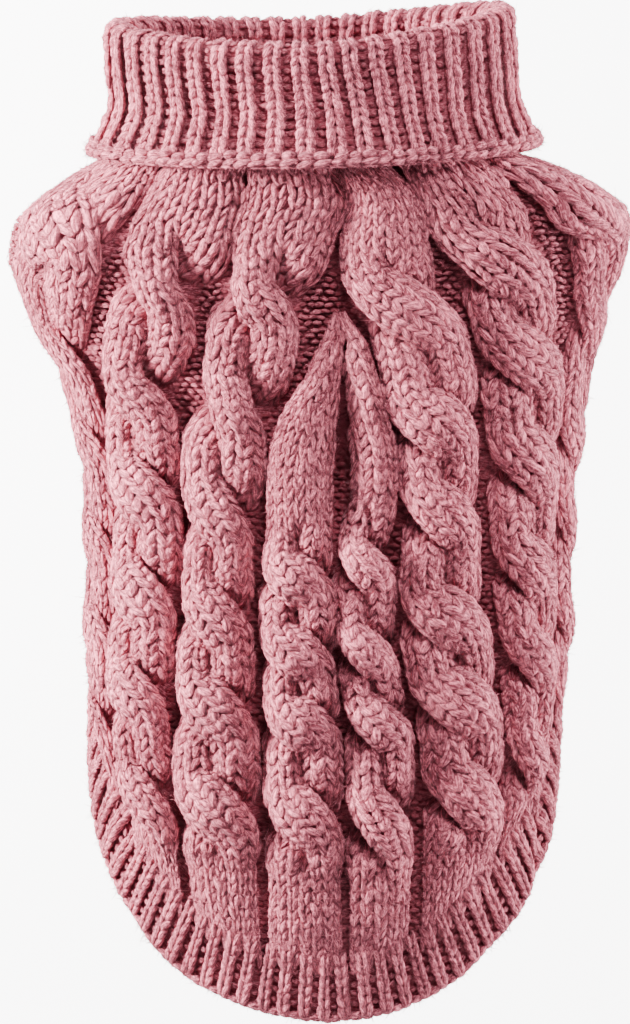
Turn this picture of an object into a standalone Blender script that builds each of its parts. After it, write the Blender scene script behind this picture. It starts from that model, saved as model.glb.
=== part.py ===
"""Knitted dog sweater, size S, holding the rounded form it has when worn.

Frame: +Y runs toward the neck, +Z up out of the dog's back, +X to the right
seen from above with the neck away from the viewer.  The origin is on the
inner face of the back at the withers, where the sweater hangs on its wearer.
All driving sizes are in millimetres and become metres when a point is made.
"""
import bpy
import bmesh
import math
import numpy as np
from mathutils import Vector

MM = 0.001

# ---------------------------------------------------------------- sizes (mm)
WALL = 3.0              # thickness of the plain knitted ground
CABLE_RISE = 4.2        # how far a rope cable stands above the ground
CABLE_REPEAT = 29.0     # length of one cable crossing repeat
SEAM_GAP = 0.3          # daylight left between two linked pieces
HEM_GAP = 0.5           # the same along the curved hem, where the faces twist
HEM_RIGHT = 3.0         # how far the edge is drawn up right of the tail
COLLAR_SHIFT = 1.4      # how far the turned-down layer sits to the right
RIB_BAND = 16.5         # width of the hem rib
RIB_THICK = 4.2         # the rib is a little thicker than the ground
COLLAR_TILT = math.radians(8.5)
COLLAR_LENGTH = 37.5    # fold to turned-down edge
COLLAR_WALL = 3.4
STAND_FROM = 8.0        # the stand starts this far above the turned-down edge
LEG_CENTRE_Y = 5.0
LEG_HALF_LENGTH = 26.0
LEG_HALF_ANGLE = 20.0   # degrees each way from the side seam
CENTRE_SEAM = 3.4       # degrees right of the top line

# Sections of the body tube, neck to tail.
#   y        distance from the withers toward the neck
#   centre   sideways shift of the section
#   half     half width of the ground, without cables
#   top      height of the back line
#   side     height of the widest point
#   bottom   height of the chest line
SECTIONS = (
    # y      centre  half   top    side   bottom
    (62.0,   -5.2,   52.0,   5.0, -28.0, -61.0),
    (50.0,   -5.0,   52.3,   4.8, -28.7, -61.5),
    (45.5,   -4.4,   54.0,   4.6, -29.2, -62.5),
    (41.0,   -4.2,   60.6,   4.4, -29.8, -65.0),
    (36.3,   -2.8,   71.2,   4.2, -30.6, -70.0),
    (31.6,   -0.8,   80.6,   4.0, -31.6, -75.5),
    (27.0,   -0.6,   86.6,   3.8, -32.8, -79.5),
    (22.3,   -2.2,   89.4,   3.7, -34.0, -82.5),
    (15.0,   -3.8,   89.6,   3.5, -35.2, -86.5),
    (6.0,    -4.6,   87.0,   3.2, -36.4, -90.0),
    (-4.0,   -4.0,   82.6,   3.0, -37.4, -92.0),
    (-16.0,  -2.6,   77.2,   2.9, -38.2, -92.0),
    (-30.0,  -0.8,   73.4,   2.7, -38.8, -91.0),
    (-46.0,  -0.4,   70.6,   2.4, -39.2, -90.0),
    (-66.0,  -0.2,   69.4,   2.0, -39.6, -88.0),
    (-90.0,  -0.4,   68.6,   1.4, -40.0, -85.5),
    (-112.0, -1.2,   68.2,   0.6, -40.4, -83.0),
    (-134.0, -1.7,   67.8,  -0.8, -40.8, -82.0),
    (-156.0, -1.9,   66.2,  -3.0, -41.6, -82.0),
    (-180.0, -1.6,   64.2,  -6.0, -43.0, -82.0),
    (-214.0, -1.2,   61.8, -11.5, -46.0, -82.0),
)

# Valleys between the eight cables, as degrees round the tube from the top
# line, minus to the left.  v4 is the line of the closed dart: the two middle
# cables run out into it between the shoulders.
VALLEYS = (
    # y       v0      v1     v2     v3    v4    v5    v6    v7     v8
    (62.0,   -72.0, -41.5, -17.5,   1.6,  3.4,  5.2, 17.5, 37.0,  70.0),
    (44.0,   -72.0, -41.0, -17.5,   1.6,  3.4,  5.2, 18.0, 39.0,  71.0),
    (35.0,   -74.0, -40.0, -17.0,   2.0,  3.6,  5.4, 17.0, 40.0,  73.0),
    (17.6,   -84.0, -44.0, -15.8,   2.4,  4.2,  6.0, 21.5, 53.5,  86.0),
    (0.0,    -92.0, -52.0, -24.0,   2.2,  4.8,  7.6, 29.6, 64.5,  94.0),
    (-17.6,  -96.0, -64.0, -29.8,  -3.2,  4.6, 11.6, 36.0, 67.5,  99.0),
    (-35.0,  -98.0, -64.5, -36.0, -12.4,  3.2, 14.8, 38.0, 69.5, 101.0),
    (-58.6, -100.0, -66.0, -38.4, -15.4,  2.8, 16.6, 39.6, 69.5, 102.0),
    (-88.0, -101.0, -68.0, -40.2, -18.6,  2.0, 16.0, 42.4, 70.5, 103.0),
    (-117.0,-102.0, -68.5, -42.6, -17.0,  4.2, 20.8, 49.6, 76.5, 104.0),
    (-146.5,-103.0, -66.0, -40.8, -15.0,  5.0, 26.4, 53.0, 80.0, 104.0),
    (-176.0,-103.0, -68.0, -42.0, -17.0,  5.2, 24.4, 50.0, 78.0, 104.0),
    (-214.0,-103.0, -68.0, -42.0, -17.0,  5.4, 24.0, 50.0, 78.0, 104.0),
)

# First crossing of each cable below the neck, and where its ropes end in
# plain knitting above the hem.
CABLES = (
    # crossing_y  plain_from_y
    (22.0,  -150.0),
    (4.4,   -146.0),
    (0.0,   -150.0),
    (-74.0, -158.0),
    (-73.0, -158.0),
    (-3.0,  -150.0),
    (10.0,  -140.0),
    (24.0,  -140.0),
)

# Side seam, degrees from the top line, mirrored left and right.
SIDE_SEAM = (
    # y      angle
    (62.0,   106.0),
    (46.0,   108.0),
    (30.0,   115.0),
    (18.0,   121.0),
    (0.0,    124.0),
    (-18.0,  121.0),
    (-34.0,  116.0),
    (-56.0,  113.5),
    (-214.0, 113.0),
)

# Lower edge all round, degrees from its lowest point against y.
HEM_EDGE = (
    # angle   y
    (0.0,   -210.7),
    (18.0,  -207.6),
    (30.0,  -203.0),
    (40.0,  -198.2),
    (49.0,  -191.6),
    (58.0,  -183.8),
    (67.0,  -174.4),
    (76.0,  -164.0),
    (90.0,  -148.0),
    (102.0, -131.0),
    (114.0, -116.5),
    (128.0, -104.5),
    (146.0,  -96.5),
    (180.0,  -93.5),
)
HEM_LOWEST = 0.8        # degrees: the lowest point lies right of the top line

# Rows across the upper body, at fixed distances from the withers.
UPPER_ROWS = (44.0, 40.5, 37.2, 34.0, 31.0, 28.6, 24.0, 18.0, 11.0, 3.0,
              -5.0, -12.0, -17.5, -21.0, -27.0, -34.0, -42.0, -50.0)
LOWER_ROWS = 15
BELLY_COLUMNS = 12
COLLAR_COLUMNS = 44

# Soft folds of the whole cloth, both faces together.
#   angle, y     middle of the fold
#   wide, long   how far it reaches, in degrees and in mm
#   depth        minus sinks into the tube
FOLDS = (
    # angle   y      wide   long   depth
    (3.8,    14.0,   3.2,   30.0,  -1.3),   # the closed dart
    (3.2,   -48.0,   3.0,   24.0,  -3.0),   # pleat under the dart
    (15.0,  -96.0,   3.4,   26.0,  -2.0),   # right trough, middle
    (25.6, -138.0,   3.4,   34.0,  -2.2),   # right trough, tail
    (-17.6, -98.0,   3.2,   30.0,  -2.0),   # left trough, middle
    (-15.0,-142.0,   3.2,   30.0,  -1.6),   # left trough, tail
    (-41.0,-104.0,   4.0,   44.0,  -1.4),   # left outer trough
    (40.0,  -50.0,   4.0,   34.0,  -1.6),   # right outer trough
    (-37.0, -46.0,   4.0,   30.0,  -1.2),
    (-98.0, -60.0,   9.0,   34.0,  -1.8),   # left flank
    (99.0,  -70.0,   9.0,   34.0,  -1.8),   # right flank
    (180.0, -20.0,  30.0,   40.0,  -1.8),   # slack under the chest
    (152.0, -66.0,  12.0,   22.0,  -1.4),
    (-154.0,-52.0,  12.0,   26.0,  -1.4),
)


# ------------------------------------------------------------ curve helpers
class Table:
    """Smooth curve through the rows of a short table, first column the key."""

    def __init__(self, rows):
        data = np.array(sorted(rows, key=lambda r: r[0]), dtype=float)
        self.k = data[:, 0]
        self.v = data[:, 1:]
        step = np.diff(self.k)[:, None]
        slope = np.diff(self.v, axis=0) / step
        m = np.zeros_like(self.v)
        m[0], m[-1] = slope[0], slope[-1]
        a, b = slope[:-1], slope[1:]
        wa, wb = step[1:], step[:-1]
        mid = (a * wa + b * wb) / (wa + wb)
        cap = 3.0 * np.minimum(np.abs(a), np.abs(b))
        mid = np.clip(mid, -cap, cap)
        m[1:-1] = np.where(a * b > 0.0, mid, 0.0)
        self.m = m

    def __call__(self, key):
        key = min(max(key, self.k[0]), self.k[-1])
        i = int(np.searchsorted(self.k, key, side="right")) - 1
        i = min(max(i, 0), len(self.k) - 2)
        h = self.k[i + 1] - self.k[i]
        t = (key - self.k[i]) / h
        t2, t3 = t * t, t * t * t
        return ((2 * t3 - 3 * t2 + 1) * self.v[i] + (t3 - 2 * t2 + t) * h * self.m[i]
                + (3 * t2 - 2 * t3) * self.v[i + 1] + (t3 - t2) * h * self.m[i + 1])


section_at = Table(SECTIONS)
valleys_at = Table(VALLEYS)
seam_at = Table(SIDE_SEAM)
hem_at = Table(HEM_EDGE)


def fold_depth(angle, y):
    total = 0.0
    for fa, fy, wide, long_, depth in FOLDS:
        da = (angle - fa + 180.0) % 360.0 - 180.0
        total += depth * math.exp(-0.5 * (da / wide) ** 2 - 0.5 * ((y - fy) / (0.6 * long_)) ** 2)
    return total


def tube(angle, y):
    """Point of the smooth tube, before folds, in mm."""
    centre, half, top, side, bottom = section_at(y)
    a = math.radians(angle)
    c = math.cos(a)
    rise = (top - side) if c >= 0.0 else (side - bottom)
    return np.array((centre + half * math.sin(a), y, side + rise * c))


def tube_normal(angle, y):
    da, dy = 0.5, 0.5
    along = tube(angle, y + dy) - tube(angle, y - dy)
    around = tube(angle + da, y) - tube(angle - da, y)
    n = np.cross(along, around)
    return -n / np.linalg.norm(n)


def cloth(angle, y, lift):
    """Point of the cloth, lift mm outside the ground's outer face."""
    return tube(angle, y) + (fold_depth(angle, y) + lift) * tube_normal(angle, y)


# ----------------------------------------------------------- lower edge band
def girth_table():
    """Distance round the lower body against angle, to lay the edge out flat."""
    angles = np.arange(-200.0, 200.01, 2.0)
    pts = [tube(a, -130.0) for a in angles]
    steps = [0.0] + [float(np.linalg.norm(q - p)) for p, q in zip(pts, pts[1:])]
    length = np.cumsum(steps)
    return angles, length - np.interp(0.0, angles, length)


G_ANGLE, G_LENGTH = girth_table()


def hem_y(foot):
    foot = (foot + 180.0) % 360.0 - 180.0
    rel = abs((foot - HEM_LOWEST + 180.0) % 360.0 - 180.0)
    # the edge is drawn up a little on the right of the tail
    return float(hem_at(rel)[0]) + HEM_RIGHT * math.exp(-((foot - 50.0) / 17.0) ** 2)


def flat_edge(inset):
    """Lower edge moved inset mm up the cloth, as (foot angle, angle, y)."""
    rows = []
    for foot in np.arange(-180.0, 180.01, 2.0):
        def at(f):
            return np.array((np.interp(f, G_ANGLE, G_LENGTH), hem_y(f)))
        t = at(foot + 1.0) - at(foot - 1.0)
        t /= np.linalg.norm(t)
        p = at(foot) + inset * np.array((-t[1], t[0]))
        rows.append((foot, float(np.interp(p[0], G_LENGTH, G_ANGLE)), float(p[1])))
    return rows


def edge_lookup(inset):
    rows = flat_edge(inset)
    foot = np.array([r[0] for r in rows])
    ang = np.maximum.accumulate(np.array([r[1] for r in rows]))
    ang = ang + np.arange(len(ang)) * 1e-6
    y = np.array([r[2] for r in rows])

    def find(angle):
        angle = (angle + 180.0) % 360.0 - 180.0
        return float(np.interp(angle, ang, foot)), float(np.interp(angle, ang, y))
    return find


PANEL_END = edge_lookup(RIB_BAND + HEM_GAP)
BAND_TOP = edge_lookup(RIB_BAND)
BAND_MID = edge_lookup(RIB_BAND * 0.5)


# ------------------------------------------------------------------- neckline
AXIS = np.array((0.0, math.cos(COLLAR_TILT), math.sin(COLLAR_TILT)))
UP = np.array((0.0, -math.sin(COLLAR_TILT), math.cos(COLLAR_TILT)))
COLLAR_FOOT = np.array((-5.6, 44.0, -29.4))


def neck_plane_y(z, above):
    """y where the plane `above` mm up the collar's axis has the height z."""
    return COLLAR_FOOT[1] + (above - (z - COLLAR_FOOT[2]) * AXIS[2]) / AXIS[1]


def neck_y(angle):
    y = 48.0
    for _ in range(6):
        y = neck_plane_y(tube(angle, y)[2], STAND_FROM - SEAM_GAP)
    return y


# --------------------------------------------------------------------- relief
def leg_notch(y):
    v = (y - LEG_CENTRE_Y) / LEG_HALF_LENGTH
    return LEG_HALF_ANGLE * math.sqrt(1.0 - v * v) if abs(v) < 1.0 else 0.0


def cable_lift(q, angle, y):
    """Height of the cables; q counts cables from the left, 0 to 8."""
    if not 0.0 < q < 8.0:
        return 0.0
    k = min(int(q), 7)
    across = q - k
    v = valleys_at(y)
    wide = (v[k + 1] - v[k]) * 0.85           # about mm at the sides of the tube
    first, plain = CABLES[k]
    turn = 2.0 * math.pi * (y - first) / CABLE_REPEAT
    rope = 1.0 if y > plain else max(0.0, 1.0 - (plain - y) / 14.0)
    bump = 0.78 + 0.22 * rope * math.cos(turn + 2.2 * (across - 0.5))
    flat = 1.0 - 0.30 * (1.0 - rope)
    near_neck = min(1.0, max(0.15, (43.0 - y) / 10.0))
    full = min(1.0, max(0.0, (wide - 2.0) / 12.0))
    return CABLE_RISE * (math.sin(math.pi * across) ** 0.65) * bump * flat * near_neck * full


BACK_Q = [-2.0, -1.0] + [k + f for k in range(8) for f in (0.0, 0.2, 0.4, 0.6, 0.8)] + [8.0, 9.0, 10.0]


def back_angle(q, y):
    """Angle of a column of the back panel, clear of seam gap and leg opening."""
    v = valleys_at(y)
    seam = float(seam_at(y)[0])
    edge = seam - leg_notch(y) - math.degrees(0.5 * SEAM_GAP / 52.0)
    left = max(float(v[0]), -(edge - 3.0))
    right = min(float(v[8]), edge - 3.0)
    if q < 0.0:
        return left + (-edge - left) * (-q / 2.0)
    if q > 8.0:
        return right + (edge - right) * ((q - 8.0) / 2.0)
    v = np.array([left] + [float(a) for a in v[1:8]] + [right])
    k = min(int(q), 7)
    return float(v[k] + (v[k + 1] - v[k]) * (q - k))


def belly_angle(f, y):
    """Angle of a column of the belly panel, f from 0 (right) to 1 (left)."""
    seam = float(seam_at(y)[0])
    edge = seam + leg_notch(y) + math.degrees(0.5 * SEAM_GAP / 52.0)
    return edge + (360.0 - 2.0 * edge) * f


# ------------------------------------------------------------------- panels
def panel_grid(columns, angle_of, lift_of):
    outer, inner = [], []
    last = UPPER_ROWS[-1]
    for i in range(-1, len(UPPER_ROWS) + LOWER_ROWS):
        row_o, row_i = [], []
        for c in columns:
            if i < 0:
                a = angle_of(c, 47.0)
                y = neck_y(a)
            elif i < len(UPPER_ROWS):
                y = UPPER_ROWS[i]
                a = angle_of(c, y)
            else:
                a = angle_of(c, -60.0)
                end = PANEL_END(a)[1]
                t = (i - len(UPPER_ROWS) + 1) / LOWER_ROWS
                y = last + (end - last) * t
                for _ in range(5):
                    a = angle_of(c, y)
                    end = PANEL_END(a)[1]
                    y = last + (end - last) * t
            lift = lift_of(c, a, y)
            o, n = cloth(a, y, lift), cloth(a, y, -WALL)
            if i < 0:
                o[1] = neck_plane_y(o[2], STAND_FROM - SEAM_GAP)
                n[1] = neck_plane_y(n[2], STAND_FROM - SEAM_GAP)
            row_o.append(o)
            row_i.append(n)
        outer.append(row_o)
        inner.append(row_i)
    return outer, inner


def shell_mesh(name, outer, inner):
    """Closed wall between two grids of points."""
    rows, cols = len(outer), len(outer[0])
    bm = bmesh.new()
    vo = [[bm.verts.new(Vector(p) * MM) for p in row] for row in outer]
    vi = [[bm.verts.new(Vector(p) * MM) for p in row] for row in inner]
    for i in range(rows - 1):
        for j in range(cols - 1):
            bm.faces.new((vo[i][j], vo[i + 1][j], vo[i + 1][j + 1], vo[i][j + 1]))
            bm.faces.new((vi[i][j], vi[i][j + 1], vi[i + 1][j + 1], vi[i + 1][j]))
    for i in range(rows - 1):
        bm.faces.new((vo[i][0], vi[i][0], vi[i + 1][0], vo[i + 1][0]))
        bm.faces.new((vo[i][-1], vo[i + 1][-1], vi[i + 1][-1], vi[i][-1]))
    for j in range(cols - 1):
        bm.faces.new((vo[0][j], vo[0][j + 1], vi[0][j + 1], vi[0][j]))
        bm.faces.new((vo[-1][j], vi[-1][j], vi[-1][j + 1], vo[-1][j + 1]))
    return finish_mesh(name, bm)


def ring_mesh(name, sections):
    """Closed ring: each section is a loop of points, joined to the next."""
    bm = bmesh.new()
    loops = [[bm.verts.new(Vector(p) * MM) for p in s] for s in sections]
    n, m = len(loops), len(loops[0])
    for i in range(n):
        a, b = loops[i], loops[(i + 1) % n]
        for j in range(m):
            k = (j + 1) % m
            bm.faces.new((a[j], a[k], b[k], b[j]))
    return finish_mesh(name, bm)


def finish_mesh(name, bm):
    bmesh.ops.recalc_face_normals(bm, faces=bm.faces)
    if bm.calc_volume(signed=True) < 0.0:
        bmesh.ops.reverse_faces(bm, faces=bm.faces)
    mesh = bpy.data.meshes.new(name)
    bm.to_mesh(mesh)
    bm.free()
    mesh.shade_smooth()
    mesh.set_sharp_from_angle(angle=math.radians(60.0))
    return mesh


def back_mesh():
    outer, inner = panel_grid(BACK_Q, back_angle, cable_lift)
    return shell_mesh("back_panel", outer, inner)


def belly_mesh():
    columns = [i / BELLY_COLUMNS for i in range(BELLY_COLUMNS + 1)]
    outer, inner = panel_grid(columns, belly_angle, lambda c, a, y: 0.0)
    return shell_mesh("belly_panel", outer, inner)


def band_mesh():
    """Hem rib: an even band that follows the lower edge all round."""
    angles = []
    for q in BACK_Q:
        a = back_angle(q, -90.0)
        for _ in range(6):
            a = back_angle(q, PANEL_END(a)[1])
        angles.append(a)
    for i in range(BELLY_COLUMNS + 1):
        a = belly_angle(i / BELLY_COLUMNS, -90.0)
        for _ in range(6):
            a = belly_angle(i / BELLY_COLUMNS, PANEL_END(a)[1])
        angles.append(a)
    merged = []
    for a in angles:                      # one column where the seam's two edges meet
        if merged and abs(((a - merged[-1]) + 180.0) % 360.0 - 180.0) < 0.8:
            continue
        merged.append(a)
    if abs(((merged[0] - merged[-1]) + 180.0) % 360.0 - 180.0) < 0.8:
        merged.pop()
    sections = []
    proud = RIB_THICK - WALL
    for a in merged:
        foot, top_y = BAND_TOP(a)
        end_y = hem_y(foot)
        if foot < a - 180.0:
            foot += 360.0
        if foot > a + 180.0:
            foot -= 360.0
        mid_a, mid_y = 0.5 * (a + foot), 0.5 * (top_y + end_y)
        sections.append([
            cloth(a, top_y, 0.4 * proud),
            cloth(mid_a, mid_y, proud),
            cloth(foot, end_y, 0.6 * proud),
            cloth(foot, end_y, -WALL),
            cloth(mid_a, mid_y, -WALL),
            cloth(a, top_y, -WALL),
        ])
    return ring_mesh("hem_rib", sections)


# ------------------------------------------------------------------- collar
# Half width and half depth up the collar, for both layers' outer faces.
TURNED_DOWN = Table((
    # above   half_width  half_depth
    (0.0,     65.6,  44.6),
    (5.0,     64.0,  43.8),
    (10.0,    61.8,  41.8),
    (16.0,    60.0,  39.6),
    (24.0,    60.2,  38.0),
    (33.0,    60.2,  37.4),
    (37.5,    59.6,  36.8),
))
STAND = Table((
    # above   half_width  half_depth
    (8.0,     52.2,  33.6),
    (16.0,    52.6,  33.6),
    (24.0,    54.0,  33.4),
    (37.5,    55.4,  32.6),
))


def collar_point(angle, above, half_width, half_depth):
    a = math.radians(angle)
    p = COLLAR_FOOT + AXIS * above
    p = p + np.array((1.0, 0.0, 0.0)) * half_width * math.sin(a) + UP * half_depth * math.cos(a)
    if half_width > 57.0:
        p[0] += COLLAR_SHIFT * min(1.0, max(0.0, (30.0 - above) / 14.0))
    # the collar sits a little turned: its right side stands higher, and its fold
    # dips in the middle
    x = p[0] - COLLAR_FOOT[0]
    rim = (5.2 * (x / 50.0) ** 1.5 if x > 0.0 else 3.3 * (x / 53.0) ** 2) - 2.0
    lift = 0.022 * x + rim * min(1.0, max(0.0, (above - 14.0) / 16.0))
    p[1] += lift * (min(1.0, max(0.0, (above - STAND_FROM) / 14.0)) if half_width < 55.0 else 1.0)
    return p


def collar_mesh():
    top = COLLAR_LENGTH
    sections = []
    for i in range(COLLAR_COLUMNS):
        angle = 360.0 * i / COLLAR_COLUMNS
        loop = []

        def layer(table, above, inward):
            w, d = table(above)
            loop.append(collar_point(angle, above, w - inward, d - inward))

        for above in (0.0, 5.0, 10.0, 16.0, 24.0, 32.0):
            layer(TURNED_DOWN, above, 0.0)
        # the fold: half a turn from the outer face to the inner face
        wo, do = TURNED_DOWN(top - 3.0)
        wi, di = STAND(top - 3.0)
        wi, di = wi - COLLAR_WALL, di - COLLAR_WALL
        for turn in (40.0, 90.0, 140.0):
            t = 0.5 - 0.5 * math.cos(math.radians(turn))
            rise = 4.2 * math.sin(math.radians(turn))
            loop.append(collar_point(angle, top - 4.2 + rise, wo + (wi - wo) * t, do + (di - do) * t))
        for above in (31.0, 20.0, STAND_FROM):
            layer(STAND, above, COLLAR_WALL)
        for above in (STAND_FROM, 18.0, 28.0):
            layer(STAND, above, 0.0)
        # underside of the fold, then the turned-down layer's inner face
        w, d = TURNED_DOWN(28.0)
        wi, di = STAND(28.0)
        loop.append(collar_point(angle, 31.0, 0.5 * (w - COLLAR_WALL + wi), 0.5 * (d - COLLAR_WALL + di)))
        for above in (28.0, 16.0, 8.0, 0.0):
            layer(TURNED_DOWN, above, COLLAR_WALL)
        sections.append(loop)
    return ring_mesh("collar", sections)


# ---------------------------------------------------------------- materials
def yarn(name, colour):
    mat = bpy.data.materials.new(name)
    mat.use_nodes = True
    bsdf = mat.node_tree.nodes["Principled BSDF"]
    bsdf.inputs["Base Color"].default_value = (*colour, 1.0)
    bsdf.inputs["Roughness"].default_value = 0.92
    bsdf.inputs["Metallic"].default_value = 0.0
    return mat


def build():
    for obj in list(bpy.data.objects):
        bpy.data.objects.remove(obj, do_unlink=True)
    group = bpy.data.collections.new("dog_sweater")
    bpy.context.scene.collection.children.link(group)
    pieces = (
        ("collar", collar_mesh, (0.60, 0.235, 0.285)),
        ("back_panel", back_mesh, (0.62, 0.245, 0.295)),
        ("belly_panel", belly_mesh, (0.58, 0.225, 0.275)),
        ("hem_rib", band_mesh, (0.60, 0.230, 0.280)),
    )
    for name, make, colour in pieces:
        mesh = make()
        mesh.materials.append(yarn(name + "_yarn", colour))
        obj = bpy.data.objects.new(name, mesh)
        group.objects.link(obj)


build()
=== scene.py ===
"""Looks of the knitted dog sweater: the knitting itself, its yarn and its light.

Every stitch is laid on the same form as the part: columns of knit stitches
along the eight rope cables, purl bumps between them, ribs on the collar and
on the hem, and plain knitting under the chest.  Sizes are in millimetres and
become metres when a mesh is made.
"""

import math
import bpy
import numpy as np
from mathutils import Vector, Matrix


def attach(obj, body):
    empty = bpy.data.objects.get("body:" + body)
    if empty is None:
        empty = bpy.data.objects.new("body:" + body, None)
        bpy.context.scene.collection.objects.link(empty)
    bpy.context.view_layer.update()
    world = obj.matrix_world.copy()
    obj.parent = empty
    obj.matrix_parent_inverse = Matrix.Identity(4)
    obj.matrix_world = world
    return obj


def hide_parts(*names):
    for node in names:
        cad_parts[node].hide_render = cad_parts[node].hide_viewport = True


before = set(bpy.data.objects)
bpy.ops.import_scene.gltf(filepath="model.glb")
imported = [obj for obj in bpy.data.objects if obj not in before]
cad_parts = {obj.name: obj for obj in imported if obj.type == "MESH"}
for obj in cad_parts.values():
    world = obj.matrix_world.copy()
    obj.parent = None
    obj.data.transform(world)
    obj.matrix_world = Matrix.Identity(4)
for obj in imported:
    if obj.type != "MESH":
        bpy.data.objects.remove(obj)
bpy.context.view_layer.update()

MM = 0.001
rng = np.random.default_rng(20)

# ------------------------------------------------------------------ sizes (mm)
WALL = 3.0
SEAM_GAP = 0.3
HEM_GAP = 0.5
RIB_BAND = 16.5
COLLAR_TILT = math.radians(8.5)
COLLAR_LENGTH = 37.5
COLLAR_WALL = 3.4
STAND_FROM = 8.0
LEG_CENTRE_Y = 5.0
LEG_HALF_LENGTH = 26.0
LEG_HALF_ANGLE = 20.0
HEM_LOWEST = 0.8
HEM_RIGHT = 3.0         # the right quarter of the hem is cut this much higher
COLLAR_SHIFT = 1.4      # the turned-down edge sits this much to the right

ROW = 3.6               # height of one row of knitting
WALE = 2.8              # width of one column of knit stitches
YARN = 0.80             # half the thickness of the yarn where it lies in a stitch
COLLAR_ROW = 2.85
COLLAR_RIB = 7.75       # one rib: a knit column and a purl groove
HEM_RIB = 6.7
HEM_ROW = 3.0

SECTIONS = (
    # y      centre  half   top    side   bottom
    (62.0, -5.2, 52.0, 5.0, -28.0, -61.0),
    (50.0, -5.0, 52.3, 4.8, -28.7, -61.5),
    (45.5, -4.4, 54.0, 4.6, -29.2, -62.5),
    (41.0, -4.2, 60.6, 4.4, -29.8, -65.0),
    (36.3, -2.8, 71.2, 4.2, -30.6, -70.0),
    (31.6, -0.8, 80.6, 4.0, -31.6, -75.5),
    (27.0, -0.6, 86.6, 3.8, -32.8, -79.5),
    (22.3, -2.2, 89.4, 3.7, -34.0, -82.5),
    (15.0, -3.8, 89.6, 3.5, -35.2, -86.5),
    (6.0, -4.6, 87.0, 3.2, -36.4, -90.0),
    (-4.0, -4.0, 82.6, 3.0, -37.4, -92.0),
    (-16.0, -2.6, 77.2, 2.9, -38.2, -92.0),
    (-30.0, -0.8, 73.4, 2.7, -38.8, -91.0),
    (-46.0, -0.4, 70.6, 2.4, -39.2, -90.0),
    (-66.0, -0.2, 69.4, 2.0, -39.6, -88.0),
    (-90.0, -0.4, 68.6, 1.4, -40.0, -85.5),
    (-112.0, -1.2, 68.2, 0.6, -40.4, -83.0),
    (-134.0, -1.7, 67.8, -0.8, -40.8, -82.0),
    (-156.0, -1.9, 66.2, -3.0, -41.6, -82.0),
    (-180.0, -1.6, 64.2, -6.0, -43.0, -82.0),
    (-214.0, -1.2, 61.8, -11.5, -46.0, -82.0),
)

SIDE_SEAM = (
    (62.0, 106.0), (46.0, 108.0), (30.0, 115.0), (18.0, 121.0), (0.0, 124.0),
    (-18.0, 121.0), (-34.0, 116.0), (-56.0, 113.5), (-214.0, 113.0),
)

HEM_EDGE = (
    (0.0, -210.7), (18.0, -207.6), (30.0, -203.0), (40.0, -198.2), (49.0, -191.6),
    (58.0, -183.8), (67.0, -174.4), (76.0, -164.0), (90.0, -148.0), (102.0, -131.0),
    (114.0, -116.5), (128.0, -104.5), (146.0, -96.5), (180.0, -93.5),
)

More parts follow.
